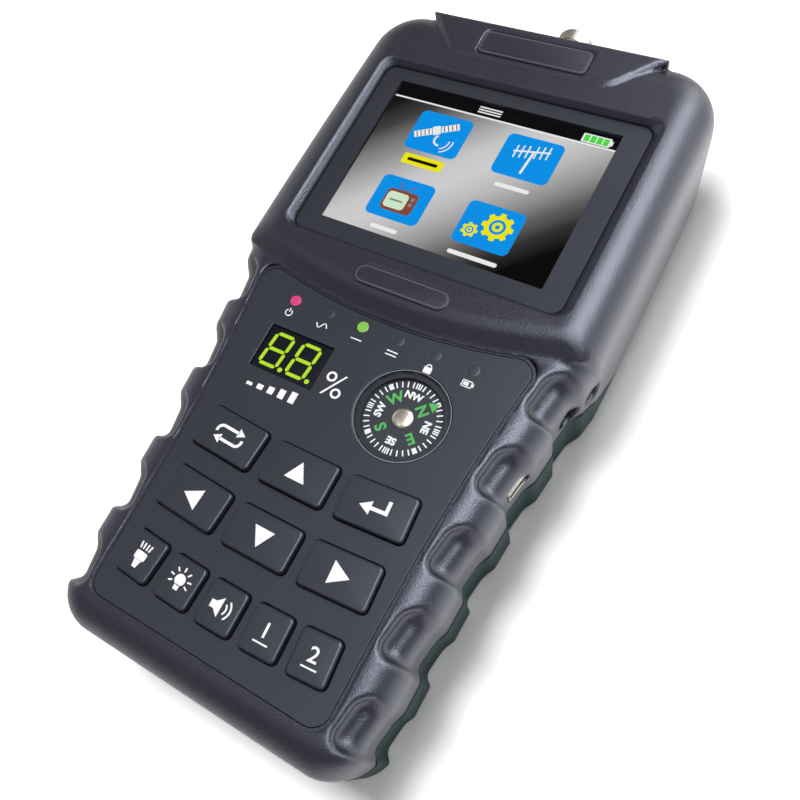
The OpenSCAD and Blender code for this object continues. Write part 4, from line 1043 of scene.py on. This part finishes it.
ground, tree, place = start_material("display_ground", "#000000", 0.25)
spot = node(tree, "ShaderNodeSeparateXYZ", {"Vector": place}).outputs
slant = node(tree, "ShaderNodeMath", {0: spot["X"], 1: spot["Y"]}, operation="SUBTRACT")
along = node(tree, "ShaderNodeMapRange", {
    "Value": slant, "From Min": (-LCD_W / 2 - SCREEN_Y - LCD_H / 2) * MM,
    "From Max": (LCD_W / 2 - SCREEN_Y + LCD_H / 2) * MM})
ramp = node(tree, "ShaderNodeValToRGB", {"Fac": along})
stops = ramp.color_ramp.elements
for position, grey in GREYS:
    stops.new(position).color = linear(grey)
for spare in (stops[-1], stops[0]):
    stops.remove(spare)
dress(ground, {"Specular IOR Level": 0.0, "Emission Color": ramp, "Emission Strength": 1.12})
LIT = {name: glowing("display_" + name, colour, 1.0, 0.25, 0.0) for name, colour in (
    ("black", "#020202"), ("white", "#f6f6f6"), ("blue", "#0096f0"), ("yellow", "#f8f000"),
    ("green", "#52e04a"), ("grey", "#8a8a8a"), ("brown", "#8a4a3a"), ("mint", "#d6f0d0"))}
print("lit colours", len(LIT))

# %% Bars and tiles of the picture
TILE_W, TILE_H, TILE_CORNER = 14.2, 11.8, 1.5
TILES = [(15.9, 11.2), (39.4, 11.2), (15.9, 31.5), (39.2, 31.5)]
BATTERY, LABEL, LABEL_DROP = (52.0, 1.55), (TILES[0][0], 20.0), 8.7


def draw(shapes, colour, layer, u, v):
    """Flat shapes about a place that is measured from the picture's top left corner.

    A higher layer lies over a lower one."""
    z = DISPLAY_Z + LAYER * (layer - 1)
    x, y = u - LCD_W / 2, SCREEN_Y + LCD_H / 2 - v
    return [slab(turned(shape, x, y), z, z + LAYER, LIT[colour]) for shape in shapes]


picture = [slab(round_rect(GLASS_W, GLASS_H, 0.3, 0, SCREEN_Y, 2), DISPLAY_BACK, DISPLAY_Z, ground)]
picture += draw([round_rect(GLASS_W, 3.5, 0.05, steps=1)], "black", 1, LCD_W / 2, 1.2)
picture += draw([round_rect(GLASS_W, 0.45, 0.05, steps=1)], "white", 1, LCD_W / 2, 3.18)
picture += draw([stroke(-3.0, y, 3.0, y, 0.36) for y in (-0.75, 0, 0.75)], "white", 2, 24.9, 1.2)
picture += draw([round_rect(6.8, 2.5, 0.3), round_rect(0.6, 1.3, 0.1, 3.6)], "white", 2, *BATTERY)
picture += draw([round_rect(1.25, 1.9, 0.1, x) for x in (-2.3, -0.77, 0.77, 2.3)], "green", 3, *BATTERY)
for u, v in TILES:
    picture += draw([round_rect(TILE_W, TILE_H, TILE_CORNER)], "blue", 1, u, v)
picture += draw([round_rect(10.8, 3.0, 0.4)], "yellow", 1, *LABEL)
picture += draw([round_rect(8.2, 0.9, 0.4)], "black", 2, *LABEL)
for (u, v), width in zip(TILES[1:], (8.6, 7.2, 12.4)):
    picture += draw([round_rect(width, 1.1, 0.5)], "white", 1, u, v + LABEL_DROP)
print("bars and tiles", len(picture))

# %% Symbols on the tiles
SAT, DISH = (-1.0, 0.9, 28), (1.2, -1.6)
RIBS = (-4.9, -3.9, -2.9, -1.9, 1.9, 2.9, 3.9, 4.9)
wings = [turned(round_rect(4.4, 1.9, 0.05, x, 0, 1), *SAT) for x in (-3.4, 3.4)]
ribs = [turned(round_rect(0.22, 1.7, 0.02, x, 0, 1), *SAT) for x in RIBS]
core = [turned(round_rect(2.0, 2.6, 0.3), *SAT), sector(*DISH, 1.5, 0.5, 130, 280)]
waves = [sector(*DISH, r, 0.32, -70, 10) for r in (2.4, 3.4)]
mast = [stroke(-4.2, 1.2, 4.4, 3.0, 0.45), stroke(0.6, 2.0, 0.0, -4.4, 0.6)]
for x in (-3.6, -2.2, -0.8, 1.2, 2.6, 4.0):
    level = 2.05 + 0.2 * x
    mast.append(stroke(x, level - 1.9, x, level + 1.7, 0.36))
receiver = [round_rect(8.4, 6.2, 1.2, 0, -0.6), stroke(-0.2, 2.4, -2.2, 4.6, 0.3),
            stroke(0.2, 2.4, 2.4, 4.4, 0.3)]
knobs = [disc(3.0, y, 0.5, 16) for y in (0.8, -0.7)] + [stroke(-2.6, -0.6, 0.8, -0.6, 0.5)]
for tile, shapes, colour, layer in (
        (0, wings, "white", 2), (0, ribs, "black", 3), (0, core, "white", 4), (0, waves, "white", 2),
        (1, mast, "white", 2), (2, receiver, "brown", 2),
        (2, [round_rect(5.6, 4.6, 1.0, -0.9, -0.6)], "mint", 3), (2, knobs, "grey", 4)):
    picture += draw(shapes, colour, layer, *TILES[tile])


def gear(x, y, r, teeth):
    """The edge of a cog."""
    edge = []
    for a in [360 / teeth * i for i in range(teeth)]:
        edge += arc(x, y, r * 1.2, a - 9, a + 9, 2) + arc(x, y, r * 0.95, a + 14, a + 360 / teeth - 14, 2)
    return edge


for x, y, r, teeth in ((1.9, 0.7, 3.2, 8), (-3.9, -2.0, 1.7, 7)):
    rounds = ((disc(x, y, r * 0.62, 24), "blue"), (disc(x, y, r * 0.4, 24), "yellow"),
              (disc(x, y, r * 0.18, 16), "blue"))
    for layer, (shape, colour) in enumerate(((gear(x, y, r, teeth), "yellow"), *rounds), 2):
        picture += draw([shape], colour, layer, *TILES[3])
piece("display_picture", picture, "housing", "display_panel", "display_glass")
print("picture parts", len(picture))

# %% [markdown]
# ## Plates, lamps and digits
# The brow and the chin carry plain plates, each with a fine grey line. The lamps are small
# domes: one glows red, one green, and the rest are dark. A sphere could stand for each, but
# the real ones are nearly flat, so a profile is turned. The digit display is a black block
# with lit segments, and small printed symbols stand beside these.

# %% Plates
PLATE_EDGE, LINE_OUT, LINE_IN = 0.15, 0.35, 0.6

for name, (px, py, w, h, r), top in (("brow_plate", BROW_PLATE, BROW_Z), ("chin_badge", BADGE, SCREEN_Z)):
    def plate_edge(d):
        return round_rect(w - 2 * d, h - 2 * d, r - d, px, py, 10)

    rings = [(0.0, top - PLATE_T)] + round_rim(top - INK_T, PLATE_EDGE, 3)
    line = frame_band(plate_edge(LINE_OUT), plate_edge(LINE_IN), top - INK_T, top, GREY_INK)
    piece(name + "_face", [stacked(plate_edge, rings, PLATE), line], "housing", "trim_plastic", name)
    print(name, w, "x", h, "mm")

# %% Lamps
BOARD_TOP, FLANGE, FLANGE_T, DOME_OUT, DOME_Z, DOME_H = 28.7, 0.35, 0.8, 0.1, PANEL_TOP + 0.005, 0.12


def lamp(x, mat):
    """A lamp from its flange on the board to its flat dome over the panel."""
    turns = [math.radians(v) for v in (0, 20, 40, 60, 75, 86)]
    dome = [((LAMP_R + DOME_OUT) * math.cos(a), DOME_Z + DOME_H * math.sin(a)) for a in turns]
    foot = [(LAMP_R + FLANGE, BOARD_TOP), (LAMP_R + FLANGE, BOARD_TOP + FLANGE_T)]
    stem = [(LAMP_R, BOARD_TOP + FLANGE_T), (LAMP_R, PANEL_TOP - 0.1)]
    return spun(foot + stem + dome, x, 0, mat, 32)


piece("lamp_red_dome", [lamp(lamp_x[0], LAMP_RED)], "housing", "lamp_pink", "lamp_red")
piece("lamp_green_dome", [lamp(lamp_x[2], LAMP_GREEN)], "housing", "lamp_lime", "lamp_green")
dark = [lamp(lamp_x[i], LAMP_OFF) for i in (1, 3, 4, 5)]
piece("lamp_dark_domes", dark, "housing", "lamp_smoke", "lamps_unlit")
print("lamps", LAMP_COUNT)

# %% Digits
DIGIT_Z, DIGIT_EDGE, DIGIT_CORNER, DIGIT_LEAN = 35.6, 0.1, 0.25, 0.09
DIGIT_MIDDLES, BAR_RISE, BAR_OUT, BAR_W, ACROSS, UPRIGHT = (-4.3, 3.2), 4.1, 2.35, 0.85, 4.4, 3.7
DOT_X, DOT_R = 3.7, 0.6


def segment(x, y, length, upright):
    """One bar of a digit, pointed at both ends."""
    a, b = length / 2, BAR_W / 2
    bar = [(-a, 0), (-a + b, -b), (a - b, -b), (a, 0), (a - b, b), (-a + b, b)]
    return [(x - py, y + px) if upright else (x + px, y + py) for px, py in bar]


def block_edge(d):
    return round_rect(DIGITS_W - 2 * d, DIGITS_H - 2 * d, DIGIT_CORNER, DIGITS_X, DIGITS_Y, 3)


digit_parts = [stacked(block_edge, [(0.0, BOARD_TOP)] + round_rim(DIGIT_Z, DIGIT_EDGE, 3), DIGIT_BLACK)]
for middle in DIGIT_MIDDLES:
    bars = [segment(middle, y, ACROSS, False) for y in (-BAR_RISE, 0.0, BAR_RISE)]
    bars += [segment(middle + x, y, UPRIGHT, True) for x in (-BAR_OUT, BAR_OUT)
             for y in (-BAR_RISE / 2, BAR_RISE / 2)]
    bars.append(disc(middle + DOT_X, -BAR_RISE, DOT_R, 16))
    for bar in bars:
        leaning = [(x + DIGIT_LEAN * y, y) for x, y in bar]
        digit_parts.append(slab(turned(leaning, DIGITS_X, DIGITS_Y), DIGIT_Z, DIGIT_Z + INK_T, SEGMENT))
piece("digit_block", digit_parts, "housing", "digit_resin", "digit_display")
print("digit bars", len(digit_parts) - 1)

# %% Print on the panel
SIGN_Y, SIGN_LINE, BARS_DROP = -3.4, 0.28, 4.9
PERCENT, PERCENT_X, PERCENT_Y = 8.6, DIGITS_X + DIGITS_W / 2 + 4.5, DIGITS_Y - 2.4

wave = [(x, 0.7 * math.sin(x * 2.4)) for x in np.linspace(-1.5, 1.5, 25)]
signs = [
    [sector(0, 0, 0.85, 0.26, 125, 415), stroke(0, 0.2, 0, 1.2, 0.26)],
    [stroke(*a, *b, SIGN_LINE) for a, b in zip(wave, wave[1:])],
    [stroke(-1.4, 0, 1.4, 0, SIGN_LINE)],
    [stroke(-1.4, y, 1.4, y, SIGN_LINE) for y in (-0.45, 0.45)],
    [round_rect(1.9, 1.5, 0.25, 0, -0.5), sector(0, 0.25, 0.62, 0.26, 0, 180)],
    [round_rect(2.2, 0.26, 0.05, 0, 0.7), round_rect(2.2, 0.26, 0.05, 0, -0.7),
     round_rect(0.26, 1.66, 0.05, -1.1), round_rect(0.26, 1.66, 0.05, 1.1),
     round_rect(0.35, 0.8, 0.05, 1.45), round_rect(1.2, 0.8, 0.05, -0.2)]]
rising = [[(x - 0.8, 0), (x + 0.8, 0), (x + 0.8, h), (x - 0.8, h)]
          for x, h in zip((-5.8, -2.9, 0, 2.9, 5.8), (0.8, 1.3, 1.8, 2.3, 2.8))]
places = [(x, SIGN_Y) for x in lamp_x] + [(DIGITS_X, DIGITS_Y - DIGITS_H / 2 - BARS_DROP)]
prints = []
for (x, y), sign in zip(places, signs + [rising]):
    prints += mark([turned(shape, x, y) for shape in sign], z=PANEL_TOP)
prints.append(letters("%", PERCENT, PERCENT_X, PERCENT_Y, PANEL_TOP, INK, bold=-0.05))
piece("panel_print", prints, "housing", "panel_abs")
print("printed shapes", len(prints))

# %% [markdown]
# ## The compass
# A printed card turns on a pin inside a dark well, under a clear disc. The marks round its
# edge repeat. They could be copied by hand, but Geometry Nodes place any number of them:
# one small block, copied round a circle and turned to face its middle. The card is shown
# as it stands in the photograph.

# %% Marks round a circle by Geometry Nodes
def start_tree(name, kinds):
    """A new tree, the identifiers of its inputs, and the outputs that give their values."""
    tree = bpy.data.node_groups.new(name, "GeometryNodeTree")
    inputs = {}
    for key, kind in kinds.items():
        socket = tree.interface.new_socket(key, in_out="INPUT", socket_type="NodeSocket" + kind)
        inputs[key] = socket.identifier
    tree.interface.new_socket("Geometry", in_out="OUTPUT", socket_type="NodeSocketGeometry")
    return tree, inputs, node(tree, "NodeGroupInput").outputs


def from_tree(tree, inputs, values):
    """The part that a tree makes from these values."""
    holder = add_object(tree.name, bpy.data.meshes.new(tree.name))
    work = holder.modifiers.new("nodes", "NODES")
    work.node_group = tree
    for name, value in values.items():
        work[inputs[name]] = value
    return part_of(as_mesh(holder), values["Finish"])


ring_tree, RING_INPUTS, given = start_tree("marks_round_a_circle", {
    "Count": "Int", "Radius": "Float", "Size": "Vector", "Turn": "Float", "Centre": "Vector",
    "Finish": "Material"})
circle = node(ring_tree, "GeometryNodeMeshCircle", {"Vertices": given["Count"], "Radius": given["Radius"]})
block = node(ring_tree, "GeometryNodeMeshCube", {"Size": given["Size"]})
number = node(ring_tree, "GeometryNodeInputIndex")
share = node(ring_tree, "ShaderNodeMath", {0: 2 * math.pi, 1: given["Count"]}, operation="DIVIDE")
angle = node(ring_tree, "ShaderNodeMath", {0: number, 1: share}, operation="MULTIPLY")
spin = node(ring_tree, "ShaderNodeCombineXYZ", {"Z": angle})
copies = node(ring_tree, "GeometryNodeInstanceOnPoints", {"Points": circle, "Instance": block,
                                                          "Rotation": spin})
whole = node(ring_tree, "ShaderNodeCombineXYZ", {"Z": given["Turn"]})
put = node(ring_tree, "GeometryNodeTransform", {"Geometry": copies, "Translation": given["Centre"],
                                                "Rotation": whole})
real = node(ring_tree, "GeometryNodeRealizeInstances", {"Geometry": put})
inked = node(ring_tree, "GeometryNodeSetMaterial", {"Geometry": real, "Material": given["Finish"]})
node(ring_tree, "NodeGroupOutput", {"Geometry": inked})
print("inputs of the tree", list(RING_INPUTS))

# %% Compass card
CARD_TOP, CARD_T, CARD_EDGE, CARD_R = 34.2, 0.4, 0.05, 9.8
NORTH, TICKS, TICK_R, TICK_LONG, TICK_WIDE, CHIEF_WIDE = 46.0, 40, 8.15, 1.4, 0.3, 0.34
CHIEF_BESIDE, BETWEEN_BESIDE = 2.4, 3.6
CHIEF_SIZE, BETWEEN_SIZE, LETTER_BOLD = 3.6, 2.3, 0.1
NORTH_OUT, CHIEF_OUT, BETWEEN_OUT, ARROW_OUT, ARROW_SIZE = 4.5, 5.2, 5.7, 7.2, 1.5
GREEN_INK = moulded("screen_print_green", "#4fc257", "#5cd064", 0.5, 0.3, 0.004)


def marks(count, wide, degrees):
    """White marks with a painted glow round the card, the first of them at an angle."""
    return from_tree(ring_tree, RING_INPUTS, {
        "Count": count, "Radius": TICK_R * MM, "Size": (TICK_LONG * MM, wide * MM, INK_T * MM),
        "Turn": math.radians(degrees), "Finish": GLOW_PAINTED_INK,
        "Centre": (COMPASS_X * MM, COMPASS_Y * MM, (CARD_TOP + INK_T / 2) * MM)})


def on_card(out, bearing):
    """A place on the card, some way out from its middle."""
    a = math.radians(bearing)
    return COMPASS_X + out * math.cos(a), COMPASS_Y + out * math.sin(a)


card_profile = [(CARD_R, CARD_TOP - CARD_T), (CARD_R, CARD_TOP - CARD_EDGE), (CARD_R - CARD_EDGE, CARD_TOP)]
card_parts = [spun(card_profile, COMPASS_X, COMPASS_Y, CARD, 96), marks(TICKS, TICK_WIDE, NORTH)]
card_parts += [marks(4, CHIEF_WIDE, NORTH + side) for side in (-CHIEF_BESIDE, CHIEF_BESIDE)]
card_parts += [marks(4, TICK_WIDE, NORTH + 45 + side) for side in (-BETWEEN_BESIDE, BETWEEN_BESIDE)]
for step, point in enumerate(("N", "NE", "E", "SE", "S", "SW", "W", "NW")):
    bearing = NORTH - 45 * step
    chief = len(point) == 1
    out = NORTH_OUT if point == "N" else CHIEF_OUT if chief else BETWEEN_OUT
    size, mat = (CHIEF_SIZE, GREEN_INK) if chief else (BETWEEN_SIZE, GLOW_PAINTED_INK)
    card_parts.append(letters(point, size, *on_card(out, bearing), CARD_TOP, mat, bearing - 90, LETTER_BOLD))
north = turned(arrow_head(0, 0, 90, ARROW_SIZE), *on_card(ARROW_OUT, NORTH), NORTH - 90)
card_parts.append(slab(north, CARD_TOP + INK_T, CARD_TOP + 2 * INK_T, GREEN_INK))
piece("compass_dial", card_parts, "compass_needle_card", "card_plastic", "compass_card")
print("parts of the card", len(card_parts))

# %% Compass cap and cover
CAP_STEM_R, CAP_R, CAP_GAP, CAP_H = 1.3, 2.5, 0.05, 0.85
COVER_LOW, COVER_TOP, COVER_EDGE, EDGE_LINE_IN = 35.4, 36.0, 0.15, 0.18
MASK_OUT, MASK_IN, MASK_LOW, MASK_TOP = 10.27, 9.25, 35.25, 35.38

turns = [math.radians(v) for v in (0, 12, 25, 40, 55, 70, 82)]
profile = [(CAP_STEM_R, CARD_TOP - CARD_T), (CAP_STEM_R, CARD_TOP), (CAP_R, CARD_TOP)]
profile += [(CAP_R * math.cos(a), CARD_TOP + CAP_GAP + CAP_H * math.sin(a)) for a in turns]
cap = spun(profile, COMPASS_X, COMPASS_Y, CAP, 48)
piece("compass_crown", [cap], "compass_needle_card", "cap_metal", "compass_cap")
profile = [(WELL_OUT, COVER_LOW), (WELL_OUT, COVER_TOP - COVER_EDGE), (WELL_OUT - COVER_EDGE, COVER_TOP)]
cover_parts = [spun(profile, COMPASS_X, COMPASS_Y, ACRYLIC, 96)]
# The first band is a painted highlight: a light grey ring on the cover's edge stands in for the light that
# the edge catches.
for outer, inner, z0, z1, mat in ((WELL_OUT, WELL_OUT - EDGE_LINE_IN, COVER_TOP, COVER_TOP + INK_T, PAINTED_EDGE_HIGHLIGHT),
                                  (MASK_OUT, MASK_IN, MASK_LOW, MASK_TOP, PANEL)):
    outlines = [disc(COMPASS_X, COMPASS_Y, r, 96) for r in (outer, inner)]
    cover_parts.append(frame_band(*outlines, z0, z1, mat))
piece("compass_glass", cover_parts, "housing", "cover_acrylic", "compass_cover")
print("parts of the cover", len(cover_parts))

# %% [markdown]
# ## Sockets
# The coaxial sockets have a fine thread, 32 to the inch. The Screw modifier could make it,
# but a tree keeps its radius, length and turns as inputs, and both sockets use it. It
# sweeps a small square on its corner along a spiral for the ridge, which is what the eye
# sees of a thread, and a turned barrel stands inside it.

# %% Threads by Geometry Nodes
thread_tree, THREAD_INPUTS, given = start_tree("thread_ridge", {
    "Radius": "Float", "Turns": "Float", "Length": "Float", "Ridge": "Float", "Finish": "Material"})
spiral = node(thread_tree, "GeometryNodeCurveSpiral", {
    "Resolution": 40, "Rotations": given["Turns"], "Start Radius": given["Radius"],
    "End Radius": given["Radius"], "Height": given["Length"]})
section = node(thread_tree, "GeometryNodeCurvePrimitiveCircle", {"Resolution": 4, "Radius": given["Ridge"]},
               mode="RADIUS")
ridge = node(thread_tree, "GeometryNodeCurveToMesh", {"Curve": spiral, "Profile Curve": section,
                                                      "Fill Caps": True})
solid = node(thread_tree, "GeometryNodeRealizeInstances", {"Geometry": ridge})
plated = node(thread_tree, "GeometryNodeSetMaterial", {"Geometry": solid, "Material": given["Finish"]})
node(thread_tree, "NodeGroupOutput", {"Geometry": plated})
print("inputs of the tree", list(THREAD_INPUTS))

# %% Coaxial sockets
THREAD_R, THREAD_PITCH, RIDGE, THREAD_START, THREAD_SPARE = 4.7625, 0.794, 0.16, 0.6, 3.6
ROOT_R, ROOT_END, CAN_END, MOUTH_R, BORE_R = 4.6, 92.1, 80.0, 3.5, 3.3


def laid_along_y(part, x):
    """A part that was made upright on the Z axis, laid along Y at a socket."""
    points, faces, mat = part
    return [(p[0] + x, p[2], SOCKET_Z - p[1]) for p in points], faces, mat


def coaxial(name, x, free, *nodes):
    """A threaded socket that stands this far out of the housing."""
    tip, barrel = ROOT_END + free, THREAD_R - RIDGE
    rings = [(ROOT_R, CAN_END), (ROOT_R, ROOT_END - 0.3), (barrel, ROOT_END), (barrel, tip - 0.4),
             (barrel - 0.35, tip), (MOUTH_R, tip), (BORE_R, tip - 0.2), (BORE_R, tip - 0.8)]
    turns = (free - THREAD_SPARE) / THREAD_PITCH
    thread = from_tree(thread_tree, THREAD_INPUTS, {
        "Radius": barrel * MM, "Turns": turns, "Length": turns * THREAD_PITCH * MM, "Ridge": RIDGE * MM,
        "Finish": NICKEL})
    parts = [spun(rings, 0, 0, NICKEL), moved(thread, 0, 0, ROOT_END + THREAD_START)]
    piece(name, [laid_along_y(part, x) for part in parts], "housing", "socket_nickel", *nodes)


coaxial("sat_barrel", SAT_X, 10.0, "sat_socket")
coaxial("aerial_barrel", AERIAL_X, 6.0, "aerial_socket")
print("thread", THREAD_PITCH, "mm a turn")

# %% Nuts
NUT_FLATS, NUT_T, NUT_BORE, NUT_BEVEL, NUT_STEPS = 11.0, 2.2, 4.66, 0.3, 72


def hexagon(x):
    """A nut on the top end, with its corners turned off at both faces."""
    half, tip, y0, y1 = NUT_FLATS / 2, NUT_FLATS / math.sqrt(3), HALF_LEN, HALF_LEN + NUT_T
    rings = []
    for y, limit in ((y0, half), (y0 + NUT_BEVEL, tip), (y1 - NUT_BEVEL, tip), (y1, half),
                     (y1, NUT_BORE), (y0, NUT_BORE)):
        ring = []
        for a in [2 * math.pi * i / NUT_STEPS for i in range(NUT_STEPS)]:
            r = min(half / math.cos((a + math.pi / 6) % (math.pi / 3) - math.pi / 6), limit)
            ring.append((x + r * math.cos(a), y, SOCKET_Z - r * math.sin(a)))
        rings.append(ring)
    return loft(rings, NICKEL, joined=True)


for name, x in (("sat_nut", SAT_X), ("aerial_nut", AERIAL_X)):
    piece(name + "_hex", [hexagon(x)], "housing", "socket_nickel", name)
print("nuts", NUT_FLATS, "mm across flats")

# %% Data socket
DATA_W, DATA_H, DATA_BACK, DATA_FRONT = 7.7, 3.9, 31.02, 41.4
DATA_WALL, DATA_CORNER, DATA_IN_CORNER, DATA_BACK_T, DATA_OVERLAP = 0.4, 0.6, 0.3, 0.6, 0.05


def data_edge(drawn_in, r):
    return round_rect(DATA_W - 2 * drawn_in, DATA_H - 2 * drawn_in, r)


def laid_along_x(part):
    """A part that was made upright on the Z axis, laid along X. Its mouth follows the slant."""
    points, faces, mat = part
    slanted = [(x, y, z + SCOOP_SLANT * x * (z == DATA_FRONT)) for x, y, z in points]
    return [(z, x + DATA_Y, y + DATA_Z) for x, y, z in slanted], faces, mat


mouth = frame_band(data_edge(0.0, DATA_CORNER), data_edge(DATA_WALL, DATA_IN_CORNER),
                   DATA_BACK, DATA_FRONT, NICKEL)
back = slab(data_edge(DATA_WALL - DATA_OVERLAP, DATA_IN_CORNER), DATA_BACK, DATA_BACK + DATA_BACK_T, NICKEL)
data_parts = [laid_along_x(part) for part in (mouth, back)]
piece("data_socket_shell", data_parts, "housing", "socket_nickel", "data_socket")
print("data socket", DATA_W, "x", DATA_H, "mm")

# %% [markdown]
# ## Inner pieces
# What lies inside could be modelled again, but it shows only through small openings. So it
# keeps its own solid and takes a real finish.

# %% Finishes for the solids that stay
FINISHES = {
    "display_tray": STEEL, "tuner_can": STEEL, "keypad_mat": MAT_RUBBER, "main_board": SOLDER_MASK,
    "compass_well": PANEL, "compass_pin": SCREW, "sat_insulator": MILKY, "aerial_insulator": MILKY,
    "torch_lens": TORCH_CLEAR, "torch_lamp": PHOSPHOR, "power_jack": BLACK, "power_pin": NICKEL,
    "sound_jack": BLACK, "data_tongue": BLACK, "battery_cells": CELL, "battery_cradle": BLACK,
    "speaker": BLACK, "case_screws": SCREW, "board_screws": SCREW}
for name, mat in FINISHES.items():
    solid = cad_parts[name]
    solid.data.materials.clear()
    solid.data.materials.append(mat)
print("solids with finishes", len(FINISHES))
